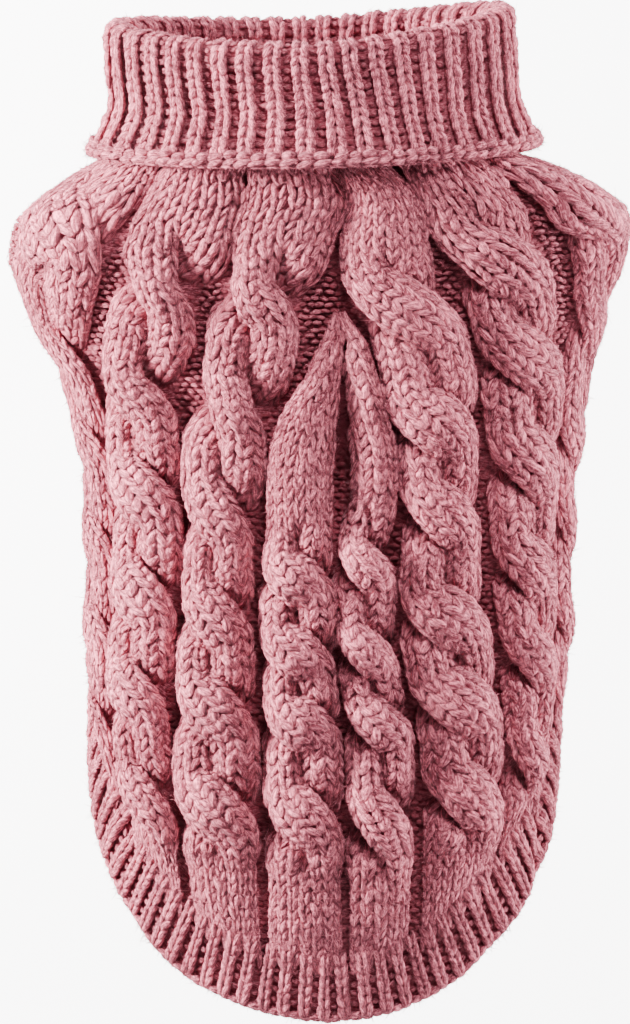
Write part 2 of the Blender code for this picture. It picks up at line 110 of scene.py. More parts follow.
# Edges of the eight cables, degrees from the top line, minus to the left.
CABLES = (
    # rows of (y, left edge, right edge)
    ((44, -80, -44), (38, -79, -42), (29, -78, -40), (19, -77, -40), (10, -79, -44),
     (0, -83, -50), (-9, -86, -58), (-18, -89, -64), (-35, -91, -65.5), (-60, -94, -65.5),
     (-90, -95, -67), (-118, -95, -67.5), (-146, -93, -62), (-175, -93, -62)),
    ((44, -41.5, -20), (39, -40.5, -19.5), (29, -38.5, -16.5), (20, -37.5, -15.5),
     (10, -38.5, -17.5), (3, -41.5, -23), (-12, -51, -27.5), (-26, -60, -36.5),
     (-44, -63.5, -38.5), (-76, -65.5, -39), (-100, -67.5, -41.5), (-123, -63.5, -42.5),
     (-146, -58, -40.5), (-175, -56, -39.5), (-190, -56, -39.5)),
    ((44, -17.5, 4.2), (38, -17, 4.2), (29, -16.3, 4.0), (18, -15.8, 3.2), (10, -15.6, 2.0), (3, -18, -1.6),
     (-6, -22, -3.6), (-15, -25.5, -5.2), (-25, -28.6, -9), (-33, -32, -13.6),
     (-41, -36, -15), (-52, -37.4, -15.5), (-64, -37.4, -18.8), (-88, -38, -19.4),
     (-100, -39.8, -18.8), (-120, -38.8, -17.6), (-136, -40, -16.6), (-158, -37.4, -16.6),
     (-195, -36, -16.4)),
    ((-5, 3.6, 4.6), (-15, -0.5, 4.4), (-24, -4.6, 3.4), (-33, -9.8, 2.2), (-42, -13, 1.4),
     (-53, -14.5, 0.8), (-64, -14.6, 0.2), (-72, -15.4, 0.4), (-81, -17.2, 0.6),
     (-97, -16.6, 2.2), (-107, -15.5, 1.8), (-118, -15, 3), (-140, -14.8, 4.4),
     (-160, -14.6, 4.8), (-195, -15.4, 5)),
    ((-5, 4.8, 6.2), (-14, 5.4, 10), (-24, 5, 12), (-34, 5, 13.8), (-44, 5.4, 16),
     (-54, 5.4, 16.4), (-63, 4.4, 15.4), (-73, 1.6, 14.0), (-82, 1.2, 16.2), (-97, 2.2, 16.0),
     (-107, 3, 17.6), (-118, 4.8, 19.6), (-130, 5.4, 22.4), (-150, 6, 22.8),
     (-176, 5.8, 22.6), (-195, 6, 22.4)),
    ((44, 3.8, 17), (38, 3.8, 17.4), (29, 3.8, 17.4), (18, 4.0, 20.4), (6, 5.4, 23.6),
     (-3, 7.4, 28.4), (-12, 11, 32.6), (-21, 12.5, 35.2), (-30, 13.2, 36), (-50, 16.8, 38),
     (-68, 18.2, 38.8), (-86, 17.6, 39.6), (-103, 19, 44.4), (-122, 23.2, 48.6),
     (-141, 26.2, 50.2), (-152, 27, 50.2), (-163, 25.2, 49.6), (-190, 25.4, 46.6)),
    ((44, 21, 46), (39, 20.5, 45.5), (31, 17.5, 40), (22, 19.5, 42), (13, 25, 48),
     (4, 29.6, 52.4), (-4, 32, 56.4), (-13, 35.6, 60.6), (-22, 38, 65.4), (-32, 38.8, 68.4),
     (-51, 42.4, 70.6), (-70, 43.6, 70), (-90, 45.8, 72.6), (-107, 49.4, 74),
     (-129, 51.2, 72), (-155, 51, 70.4), (-180, 50, 69)),
    ((44, 47.5, 80), (38, 45.5, 82), (29, 43, 80), (22, 51, 82), (12, 57.5, 84),
     (3, 62, 87), (-9, 67, 91), (-29, 68.6, 97), (-59, 73.6, 103), (-94, 75, 104),
     (-125, 75, 104), (-150, 73, 102)),
)

# Crossings down each cable: at every one the left rope passes over to the right.
CROSSINGS = (
    (19.0, -13.0, -41.0, -69.0, -95.0, -121.5, -147.0),
    (4.4, -25.0, -55.0, -85.0, -114.0, -145.0),
    (0.0, -31.0, -62.0, -91.5, -119.0, -148.0),
    (-81.0, -103.0, -123.5, -150.5),
    (-77.0, -102.5, -123.5, -152.0),
    (-3.0, -36.5, -63.0, -92.5, -117.5, -145.0),
    (10.0, -17.5, -48.5, -79.0, -105.5, -135.0),
    (25.0, -6.0, -41.0, -67.5, -95.0, -121.5),
)

# Soft folds of the whole cloth: angle and y of the middle, reach in degrees and
# in mm, depth (minus sinks in).  The first fourteen are the part's own.
FOLDS = (
    (3.8, 14.0, 3.2, 30.0, -1.3),
    (3.2, -48.0, 3.0, 24.0, -3.0),
    (15.0, -96.0, 3.4, 26.0, -2.0),
    (25.6, -138.0, 3.4, 34.0, -2.2),
    (-17.6, -98.0, 3.2, 30.0, -2.0),
    (-15.0, -142.0, 3.2, 30.0, -1.6),
    (-41.0, -104.0, 4.0, 44.0, -1.4),
    (40.0, -50.0, 4.0, 34.0, -1.6),
    (-37.0, -46.0, 4.0, 30.0, -1.2),
    (-98.0, -60.0, 9.0, 34.0, -1.8),
    (99.0, -70.0, 9.0, 34.0, -1.8),
    (180.0, -20.0, 30.0, 40.0, -1.8),
    (152.0, -66.0, 12.0, 22.0, -1.4),
    (-154.0, -52.0, 12.0, 26.0, -1.4),
    # finer ones, uneven down the length
    (3.2, -40.0, 2.6, 20.0, -2.2),
    (3.0, -62.0, 2.4, 14.0, -2.0),
    (-16.8, -40.0, 2.8, 22.0, -1.4),
    (15.2, -30.0, 2.8, 22.0, -1.4),
    (-26.0, -16.0, 3.4, 26.0, -1.4),
    (-64.0, -74.0, 5.0, 40.0, -1.2),
    (72.0, -60.0, 5.0, 40.0, -1.2),
    (47.0, -118.0, 4.0, 30.0, -1.4),
    (-10.0, -108.0, 5.0, 14.0, 0.8),
    (12.0, -150.0, 6.0, 20.0, 0.8),
    (-128.0, -30.0, 10.0, 20.0, -1.2),
    (131.0, -38.0, 10.0, 24.0, -1.2),
    (168.0, 18.0, 14.0, 16.0, -1.2),
)


# ---------------------------------------------------------------- curve helpers
class Table:
    """Smooth curve through the rows of a short table, first column the key."""

    def __init__(self, rows):
        data = np.array(sorted(rows, key=lambda r: r[0]), dtype=float)
        self.k = data[:, 0]
        self.v = data[:, 1:]
        step = np.diff(self.k)[:, None]
        slope = np.diff(self.v, axis=0) / step
        m = np.zeros_like(self.v)
        m[0], m[-1] = slope[0], slope[-1]
        a, b = slope[:-1], slope[1:]
        wa, wb = step[1:], step[:-1]
        mid = (a * wa + b * wb) / (wa + wb)
        cap = 3.0 * np.minimum(np.abs(a), np.abs(b))
        mid = np.clip(mid, -cap, cap)
        m[1:-1] = np.where(a * b > 0.0, mid, 0.0)
        self.m = m

    def __call__(self, key):
        key = np.clip(np.asarray(key, float), self.k[0], self.k[-1])
        i = np.clip(np.searchsorted(self.k, key, side="right") - 1, 0, len(self.k) - 2)
        h = self.k[i + 1] - self.k[i]
        t = ((key - self.k[i]) / h)[..., None]
        h = h[..., None]
        t2, t3 = t * t, t * t * t
        return ((2 * t3 - 3 * t2 + 1) * self.v[i] + (t3 - 2 * t2 + t) * h * self.m[i]
                + (3 * t2 - 2 * t3) * self.v[i + 1] + (t3 - t2) * h * self.m[i + 1])


section_at = Table(SECTIONS)
seam_table = Table(SIDE_SEAM)
hem_table = Table(HEM_EDGE)
cable_at = [Table(c) for c in CABLES]


def seam_at(y):
    return seam_table(y)[..., 0]


def smooth(t):
    t = np.clip(t, 0.0, 1.0)
    return t * t * (3.0 - 2.0 * t)


def fold_depth(angle, y):
    total = 0.0
    for fa, fy, wide, long_, depth in FOLDS:
        da = (angle - fa + 180.0) % 360.0 - 180.0
        total = total + depth * np.exp(-0.5 * (da / wide) ** 2 - 0.5 * ((y - fy) / (0.6 * long_)) ** 2)
    return total


def tube(angle, y):
    """Points of the smooth tube, before folds, in mm."""
    s = section_at(y)
    a = np.radians(angle)
    c = np.cos(a)
    rise = np.where(c >= 0.0, s[..., 2] - s[..., 3], s[..., 3] - s[..., 4])
    return np.stack(np.broadcast_arrays(s[..., 0] + s[..., 1] * np.sin(a), y, s[..., 3] + rise * c), axis=-1)


def tube_normal(angle, y):
    along = tube(angle, y + 0.5) - tube(angle, y - 0.5)
    around = tube(angle + 0.5, y) - tube(angle - 0.5, y)
    n = -np.cross(along, around)
    return n / np.linalg.norm(n, axis=-1, keepdims=True)


def girth_speed(angle, y):
    """mm round the tube for one degree."""
    return np.linalg.norm(tube(angle + 0.5, y) - tube(angle - 0.5, y), axis=-1)


GUTTER = Table((
    (-190.0, 0.6), (-168.0, 1.2), (-150.0, 2.4), (-60.0, 2.6), (-20.0, 1.9), (0.0, 1.3), (25.0, 1.0), (44.0, 0.5),
))


def gutter_depth(angle, y):
    """The ground sinks in a soft trough along each gap between two cables."""
    front = np.abs(angle) < 104.0
    if not np.any(front):
        return np.zeros(np.shape(angle))
    a, yy = angle[front], y[front]
    edges = [t(yy) for t in cable_at]
    base = GUTTER(yy)[..., 0]
    total = np.zeros(np.shape(a))
    for g in range(1, 8):
        right, left = edges[g - 1][..., 1], edges[g][..., 0]
        deep = base * (1.0, 1.0, 1.15, 1.0, 1.2, 1.0, 1.0)[g - 1]
        if g == 4:
            deep = deep + 4.2 * np.exp(-0.5 * ((yy + 47.0) / 15.0) ** 2)
        wide = 1.7 + 0.30 * np.clip(left - right, 0.0, 12.0)
        total = total - deep * np.exp(-0.5 * ((a - 0.5 * (right + left)) / wide) ** 2)
    out = np.zeros(np.shape(angle))
    out[front] = total
    return out


def cloth(angle, y, lift, trough=1.0):
    """Points of the cloth, lift mm outside the ground's outer face."""
    angle, y, lift = np.broadcast_arrays(np.asarray(angle, float), np.asarray(y, float), np.asarray(lift, float))
    sink = fold_depth(angle, y) + trough * gutter_depth((angle + 180.0) % 360.0 - 180.0, y)
    return tube(angle, y) + (sink + lift)[..., None] * tube_normal(angle, y)


def leg_notch(y):
    v = np.clip((np.asarray(y, float) - LEG_CENTRE_Y) / LEG_HALF_LENGTH, -1.0, 1.0)
    return LEG_HALF_ANGLE * np.sqrt(1.0 - v * v)


# ------------------------------------------------------------------- lower edge
G_ANGLE = np.arange(-200.0, 200.01, 1.0)
_p = tube(G_ANGLE, np.full_like(G_ANGLE, -130.0))
G_LENGTH = np.concatenate([[0.0], np.cumsum(np.linalg.norm(np.diff(_p, axis=0), axis=1))])
G_LENGTH = G_LENGTH - np.interp(0.0, G_ANGLE, G_LENGTH)


def hem_y(foot):
    foot = (np.asarray(foot, float) + 180.0) % 360.0 - 180.0
    rel = np.abs((foot - HEM_LOWEST + 180.0) % 360.0 - 180.0)
    return hem_table(rel)[..., 0] + HEM_RIGHT * np.exp(-(((foot - 50.0) / 17.0) ** 2))


FOOT = np.arange(-190.0, 190.01, 0.5)
_edge = np.stack([np.interp(FOOT, G_ANGLE, G_LENGTH), hem_y(FOOT)], axis=1)
_tan = np.gradient(_edge, axis=0)
# ease the direction of the edge over a few millimetres, so ribs fan out evenly
_k = np.hanning(17)
_k /= _k.sum()
_tan = np.stack([np.convolve(np.pad(_tan[:, i], 8, mode="edge"), _k, mode="valid") for i in (0, 1)], axis=1)
_tan /= np.linalg.norm(_tan, axis=1)[:, None]
EDGE_LENGTH = np.concatenate([[0.0], np.cumsum(np.linalg.norm(np.diff(_edge, axis=0), axis=1))])
EDGE_LENGTH = EDGE_LENGTH - np.interp(0.0, FOOT, EDGE_LENGTH)
EDGE_HALF = 0.5 * (np.interp(180.0, FOOT, EDGE_LENGTH) - np.interp(-180.0, FOOT, EDGE_LENGTH))
EDGE_MID = 0.5 * (np.interp(180.0, FOOT, EDGE_LENGTH) + np.interp(-180.0, FOOT, EDGE_LENGTH))


RIB_SLANT = 0.28


def hem_place(run, inset, lift):
    """Points near the lower edge: run mm along it, inset mm up from it."""
    run, inset = np.broadcast_arrays(np.asarray(run, float), np.asarray(inset, float))
    run = (run - EDGE_MID + EDGE_HALF) % (2 * EDGE_HALF) - EDGE_HALF + EDGE_MID
    foot = np.interp(run, EDGE_LENGTH, FOOT)
    p = np.stack([np.interp(foot, FOOT, _edge[:, i]) for i in (0, 1)], axis=-1)
    t = np.stack([np.interp(foot, FOOT, _tan[:, i]) for i in (0, 1)], axis=-1)
    # ribs run more nearly upward than square to the edge
    ug, uy = -(1.0 - RIB_SLANT) * t[..., 1], (1.0 - RIB_SLANT) * t[..., 0] + RIB_SLANT
    far = inset / np.maximum(ug * -t[..., 1] + uy * t[..., 0], 0.3)
    return cloth(np.interp(p[..., 0] + far * ug, G_LENGTH, G_ANGLE), p[..., 1] + far * uy, lift)


def edge_line(inset):
    """y of the line inset mm above the lower edge, as a function of angle."""
    f = np.arange(-186.0, 186.01, 0.5)
    p = np.stack([np.interp(f, FOOT, _edge[:, i]) for i in (0, 1)], axis=-1)
    t = np.stack([np.interp(f, FOOT, _tan[:, i]) for i in (0, 1)], axis=-1)
    ang = np.interp(p[:, 0] - inset * t[:, 1], G_LENGTH, G_ANGLE)
    ang = np.maximum.accumulate(ang) + np.arange(len(ang)) * 1e-6
    y = p[:, 1] + inset * t[:, 0]

    def find(angle):
        return np.interp((np.asarray(angle, float) + 180.0) % 360.0 - 180.0, ang, y)
    return find


panel_end = edge_line(RIB_BAND + HEM_GAP)

# --------------------------------------------------------------------- neckline
AXIS = np.array((0.0, math.cos(COLLAR_TILT), math.sin(COLLAR_TILT)))
UP = np.array((0.0, -math.sin(COLLAR_TILT), math.cos(COLLAR_TILT)))
COLLAR_FOOT = np.array((-5.6, 44.0, -29.4))


def neck_y(angle):
    y = np.full(np.shape(angle), 48.0)
    for _ in range(6):
        z = tube(angle, y)[..., 2]
        y = COLLAR_FOOT[1] + (STAND_FROM - SEAM_GAP - (z - COLLAR_FOOT[2]) * AXIS[2]) / AXIS[1]
    return y


TURNED_DOWN = Table((
    (0.0, 65.6, 44.6), (5.0, 64.0, 43.8), (10.0, 61.8, 41.8), (16.0, 60.0, 39.6),
    (24.0, 60.2, 38.0), (33.0, 60.2, 37.4), (37.5, 59.6, 36.8),
))
STAND = Table((
    (8.0, 52.2, 33.6), (16.0, 52.6, 33.6), (24.0, 54.0, 33.4), (37.5, 55.4, 32.6),
))


def collar_profile():
    """The knitted face of the collar: up its outside, over the fold, down inside."""
    rows = []
    for above in np.linspace(0.0, 33.3, 24):
        w, d = TURNED_DOWN(above)
        rows.append((above, w, d, 1.0))
    wo, do = TURNED_DOWN(COLLAR_LENGTH - 3.0)
    wi, di = STAND(COLLAR_LENGTH - 3.0) - COLLAR_WALL
    for turn in np.linspace(0.0, math.pi, 13)[1:-1]:
        t = 0.5 - 0.5 * math.cos(turn)
        rows.append((COLLAR_LENGTH - 4.2 + 4.2 * math.sin(turn), wo + (wi - wo) * t, do + (di - do) * t, 1.0))
    for above in np.linspace(33.3, STAND_FROM, 16):
        w, d = STAND(above) - COLLAR_WALL
        rows.append((above, w, d, min(1.0, max(0.0, (above - STAND_FROM) / 14.0))))
    return np.array(rows)


PROFILE = collar_profile()
_dp = np.diff(PROFILE[:, :3], axis=0)
PROFILE_S = np.concatenate([[0.0], np.cumsum(np.hypot(_dp[:, 0], 0.5 * (_dp[:, 1] + _dp[:, 2])))])
PROFILE_END = float(PROFILE_S[-1])
RIM_S = float(PROFILE_S[29])

_a = np.radians(np.arange(-180.0, 180.01, 1.0))
_ex, _ez = 60.5 * np.sin(_a), 38.0 * np.cos(_a)
COLLAR_RUN = np.concatenate([[0.0], np.cumsum(np.hypot(np.diff(_ex), np.diff(_ez)))])
COLLAR_GIRTH = float(COLLAR_RUN[-1])
COLLAR_RUN = COLLAR_RUN - 0.5 * COLLAR_GIRTH
COLLAR_ANGLE = np.degrees(_a)


def collar_point(run, s):
    run = (np.asarray(run, float) + 0.5 * COLLAR_GIRTH) % COLLAR_GIRTH - 0.5 * COLLAR_GIRTH
    a = np.radians(np.interp(run, COLLAR_RUN, COLLAR_ANGLE))
    above, w, d, turn = [np.interp(s, PROFILE_S, PROFILE[:, i]) for i in range(4)]
    p = COLLAR_FOOT + above[..., None] * AXIS
    # the cloth is not a perfect oval: it waves a little from rib to rib
    wave = 1.0 + 0.006 * np.sin(3.0 * a + 0.6) + 0.004 * np.sin(5.0 * a + 2.0)
    p = p + (w * wave * np.sin(a))[..., None] * np.array((1.0, 0.0, 0.0)) + (d * wave * np.cos(a))[..., None] * UP
    p[..., 0] += COLLAR_SHIFT * np.clip((30.0 - above) / 14.0, 0.0, 1.0) * (s < 0.5 * PROFILE_END)
    x = p[..., 0] - COLLAR_FOOT[0]
    # the fold dips in its middle and stands higher on the right than on the left
    rim = np.where(x > 0.0, 5.2 * (np.abs(x) / 50.0) ** 1.5, 3.3 * (x / 53.0) ** 2) - 2.0
    p[..., 1] += (0.022 * x + rim * np.clip((above - 14.0) / 16.0, 0.0, 1.0)) * turn
    return p


def collar_place(run, s, lift):
    run, s, lift = np.broadcast_arrays(np.asarray(run, float), np.asarray(s, float), np.asarray(lift, float))
    p = collar_point(run, s)
    r = collar_point(run + 0.6, s) - collar_point(run - 0.6, s)
    u = collar_point(run, s + 0.6) - collar_point(run, s - 0.6)
    n = np.cross(r, u)
    n /= np.maximum(np.linalg.norm(n, axis=-1, keepdims=True), 1e-9)
    return p + lift[..., None] * n


# ------------------------------------------------------------------ mesh making
def make_mesh(name, verts, quads=None, tris=None, painted_shade=None, tone=None, yarn=None):
    verts = np.asarray(verts, float).reshape(-1, 3) * MM
    parts = [f for f in (quads, tris) if f is not None and len(f)]
    loops = np.concatenate([np.asarray(f).reshape(-1) for f in parts]).astype(np.int32)
    totals = np.concatenate([np.full(len(f), np.asarray(f).shape[1]) for f in parts]).astype(np.int32)
    starts = np.concatenate([[0], np.cumsum(totals)[:-1]]).astype(np.int32)
    mesh = bpy.data.meshes.new(name)
    mesh.vertices.add(len(verts))
    mesh.vertices.foreach_set("co", verts.astype(np.float32).reshape(-1))
    mesh.loops.add(len(loops))
    mesh.loops.foreach_set("vertex_index", loops)
    mesh.polygons.add(len(totals))
    mesh.polygons.foreach_set("loop_start", starts)
    mesh.polygons.foreach_set("use_smooth", np.ones(len(totals), bool))
    mesh.update(calc_edges=True)
    mesh.validate()
    n = len(verts)
    # each point carries a painted shade value: low where the surface should lie in shade, and the material darkens its
    # colour there
    for label, data in (("painted_shade", painted_shade), ("tone", tone)):
        attr = mesh.attributes.new(label, "FLOAT", "POINT")
        attr.data.foreach_set("value", np.broadcast_to(0.5 if data is None else data, (n,)).astype(np.float32))
    attr = mesh.attributes.new("yarn", "FLOAT_VECTOR", "POINT")
    vec = verts * 1000.0 if yarn is None else yarn
    attr.data.foreach_set("vector", np.asarray(vec, np.float32).reshape(-1))
    obj = bpy.data.objects.new(name, mesh)
    bpy.context.scene.collection.objects.link(obj)
    return obj


SIDE_ANGLES = {
    7: (-38.0, 4.0, 48.0, 90.0, 132.0, 176.0, 218.0),
    6: (-40.0, 12.0, 64.0, 116.0, 168.0, 220.0),
    5: (-32.0, 28.0, 90.0, 152.0, 212.0),
    4: (-40.0, 48.0, 132.0, 220.0),
}


def strands(across, along, half_long, slant, wide, thick, arch, base, tone, sides=7, rings=6, bend=0.0, tilt=0.0):
    """Closed yarn lobes in knit space (across, along, height), one for each row of inputs.

    Returns points, quads, tris, painted shade, tone and yarn coordinates."""
    args = np.broadcast_arrays(*[np.atleast_1d(np.asarray(v, float)) for v in
                                 (across, along, half_long, slant, wide, thick, arch, base, tone, bend)])
    across, along, half_long, slant, wide, thick, arch, base, tone, bend = [a[:, None, None] for a in args]
    n = across.shape[0]
    s = -np.cos(np.linspace(0.0, math.pi, rings + 2))[1:-1]
    s = (0.45 * s + 0.55 * np.linspace(-1.0, 1.0, rings + 2)[1:-1])[None, :, None]
    th = np.radians(np.array(SIDE_ANGLES[sides]))[None, None, :]
    body = (1.0 - np.abs(s) ** 1.95) ** 0.70
    f = np.sin(1.15 * s) / math.sin(1.15)
    df = 1.15 * np.cos(1.15 * s) / math.sin(1.15)
    phi = np.arctan2(slant * df, half_long)
    off = wide * body * np.cos(th)
    x = across + slant * f + bend * (1.0 - s * s) + off * np.cos(phi)
    y = along + half_long * s - off * np.sin(phi)
    z = base + arch * (1.0 - s * s) - tilt * s + thick * body * np.sin(th)
    pts = np.stack(np.broadcast_arrays(x, y, z), axis=-1).reshape(n, rings * sides, 3)
    tip = np.stack([np.stack([across[:, 0, 0] + slant[:, 0, 0] * e, along[:, 0, 0] + half_long[:, 0, 0] * e,
                              base[:, 0, 0] - tilt * e + 0 * along[:, 0, 0]], axis=-1) for e in (-1.0, 1.0)], axis=1)
    pts = np.concatenate([pts, tip], axis=1)
    # painted shade: each lobe is darker toward its ends, more so at the end tucked under the next, darker on its lower
    # sides and darkest at its tips
    ends = (0.72 + 0.28 * (1.0 - s * s)) * (1.0 - 0.30 * (tilt > 0.0) * np.maximum(s, 0.0))
    painted_shade = np.broadcast_to((0.68 + 0.32 * np.sin(th)) * ends, (n, rings, sides))
    painted_shade = np.concatenate([painted_shade.reshape(n, -1), np.full((n, 2), 0.2)], axis=1)
    seed = rng.uniform(0.0, 60.0, (n, 1, 1))
    yx = np.broadcast_to(s * half_long + seed, (n, rings, sides)).reshape(n, -1)
    yy = np.broadcast_to(wide * th + seed * 1.7, (n, rings, sides)).reshape(n, -1)
    yz = np.broadcast_to(seed, (n, rings, sides)).reshape(n, -1)
    yarn = np.stack([yx, yy, yz], axis=-1)
    ends = np.stack([np.stack([e * half_long[:, 0, 0] + seed[:, 0, 0], seed[:, 0, 0] * 1.7, seed[:, 0, 0]], axis=-1)
                     for e in (-1.0, 1.0)], axis=1)
    yarn = np.concatenate([yarn, ends], axis=1)
    v = rings * sides + 2
    q, t = [], []
    for i in range(rings - 1):
        for j in range(sides):
            k = (j + 1) % sides
            q.append((i * sides + j, i * sides + k, (i + 1) * sides + k, (i + 1) * sides + j))
    for j in range(sides):
        k = (j + 1) % sides
        t.append((v - 2, k, j))
        t.append((v - 1, (rings - 1) * sides + j, (rings - 1) * sides + k))
    shift = (np.arange(n) * v)[:, None, None]
    quads = (np.array(q)[None] + shift).reshape(-1, 4)
    tris = (np.array(t)[None] + shift).reshape(-1, 3)
    tone_v = np.broadcast_to(tone[:, :, 0], (n, v)).reshape(-1)
    return pts.reshape(-1, 3), quads, tris, painted_shade.reshape(-1), tone_v, yarn.reshape(-1, 3)


def join(groups):
    """Several point groups as one."""
    pts, quads, tris, painted_shade, tone, yarn, n = [], [], [], [], [], [], 0
    for p, q, t, c, o, w in groups:
        pts.append(p)
        if q is not None and len(q):
            quads.append(np.asarray(q) + n)
        if t is not None and len(t):
            tris.append(np.asarray(t) + n)
        painted_shade.append(c)
        tone.append(o)
        yarn.append(w)
        n += len(p)
    return (np.concatenate(pts), np.concatenate(quads) if quads else None,
            np.concatenate(tris) if tris else None, np.concatenate(painted_shade), np.concatenate(tone), np.concatenate(yarn))


def knit_object(name, groups):
    p, q, t, c, o, w = join(groups)
    return make_mesh(name, p, q, t, c, o, w)


def jitter(n, size):
    return rng.normal(0.0, size, n)


# ----------------------------------------------------------------------- cables
def cable_frame(k, y):
    """Middle angle, mm per degree and half width in mm of cable k."""
    e = cable_at[k](y)
    mid = 0.5 * (e[..., 0] + e[..., 1])
    speed = girth_speed(mid, y)
    return mid, speed, 0.5 * (e[..., 1] - e[..., 0]) * speed


def crossing_state(k, rope, y):
    """Side (-1 left to 1 right), over and under amounts of one rope of cable k."""
    ys = CROSSINGS[k]
    side = np.full(np.shape(y), -1.0)
    over = np.zeros(np.shape(y))
    under = np.zeros(np.shape(y))
    for i, yc in enumerate(ys):
        above = ys[i - 1] - yc if i else 29.0
        below = yc - ys[i + 1] if i + 1 < len(ys) else 29.0
        span = 0.74 * min(above, below, 31.0)
        t = smooth((yc + 0.5 * span - y) / span)
        side = side + (2.0 if i % 2 == 0 else -2.0) * t
        g = np.cos(0.5 * math.pi * np.clip((y - yc) / (0.62 * span), -1.0, 1.0)) ** 2
        if (i + rope) % 2 == 0:
            over = over + g
        else:
            under = under + g
    if rope:
        side = -side
    return side, over, under


def plain_amount(k, y):
    """1 where the ropes lie side by side as one flat band, above and below the crossings."""
    first, last = CROSSINGS[k][0], CROSSINGS[k][-1]
    top = smooth((y - (first + 9.0)) / 9.0)
    low = smooth(((last - 9.0) - y) / 10.0)
    return top, low


LEG = 1.62              # width of one leg of a stitch in a cable


def rope_columns(k):
    """Legs across one rope of cable k: as many as lie side by side in half its width."""
    y = np.linspace(20.0 if k not in (3, 4) else -60.0, -160.0, 60)
    half = cable_frame(k, y)[2]
    # the two outer cables keep the count of their wide part at the shoulder
    if k in (0, 7):
        return int(np.clip(round(float(np.percentile(half, 95)) / LEG), 5, 14))
    return int(np.clip(round(float(np.median(half)) / LEG), 5, 10))


def rope_place(k, rope, col, y, h):
    """Knit space of one rope to space: col from its middle, -2 to 2 whatever its count of columns."""
    mid, speed, half = cable_frame(k, y)
    side, over, under = crossing_state(k, rope, y)
    side_d = crossing_state(k, rope, y + 0.5)[0] - crossing_state(k, rope, y - 0.5)[0]
    top, low = plain_amount(k, y)
    plain = np.clip(top + low, 0.0, 1.0)
    small = np.clip(half / 9.0, 0.12, 1.0)
    rx = 0.5 * half * (1.01 + 0.28 * over + 0.36 * under)
    rz = 5.2 * small * (1.0 - 0.30 * under)
    if k in (3, 4):
        # the knot below the pleat stands out
        rz = rz * (1.0 + 0.28 * np.exp(-(((y + 88.0) / 15.0) ** 2)))
    alpha = np.radians(col * 37.0)
    # one rope of a pair
    xr = (rx / 0.96) * np.sin(alpha) + h * np.sin(alpha)
    zr = rz * (np.cos(alpha) - 0.22) + h * np.cos(alpha) + 0.9 * small
    # as part of one band
    beta = np.clip((side + col / 2.0) / 2.0, -1.3, 1.3)
    flat_h = (5.4 if k in (3, 4) else 3.9) * small * (1.0 - 0.30 * low)
    tilt = np.radians(beta * 52.0)
    xb = half * (1.0 - 0.09 * low) * (np.sin(tilt) / math.sin(math.radians(52.0))) - 0.5 * half * side + h * np.sin(tilt)
    zb = flat_h * (np.cos(tilt) - 0.1) + h * np.cos(tilt) + 0.4
    xo = xr * (1.0 - plain) + xb * plain
    zo = zr * (1.0 - plain) + zb * plain
    # columns of a rope lie square to the way it runs
    lean = (cable_frame(k, y + 2.5)[0] - cable_frame(k, y - 2.5)[0]) / 5.0 * speed
    phi = np.arctan(0.85 * 0.5 * half * side_d + lean)
    xo = xo / np.sqrt(1.0 + lean * lean)
    x = 0.5 * half * side + xo * np.cos(phi)
    yy = y - xo * np.sin(phi)
    # on the flanks the ropes lie close to the cloth, with no gap to see through
    lift, sink = (3.9, 4.9) if k in (3, 4) else (2.0, 3.0) if k in (0, 7) else (3.1, 4.9)
    z = zo + lift * over * (1.0 - 0.4 * plain) - sink * under * (1.0 - 0.6 * plain)
    neck = np.clip((49.0 - yy) / 10.0, 0.3, 1.0)
    angle = mid + x / speed
    flank = 1.0 - 0.42 * smooth((np.abs(angle) - 50.0) / 28.0)
    # the cable flattens out as it runs down into the ribs
    foot = 0.16 + 0.84 * smooth((yy - panel_end(angle)) / 13.0)
    # what passes under stays within the cloth and never comes out inside
    lift = np.maximum(z * neck * flank * foot - 0.1 + 0.5 * (1.0 - foot), -1.7)
    return cloth(angle, yy, lift, 0.35)


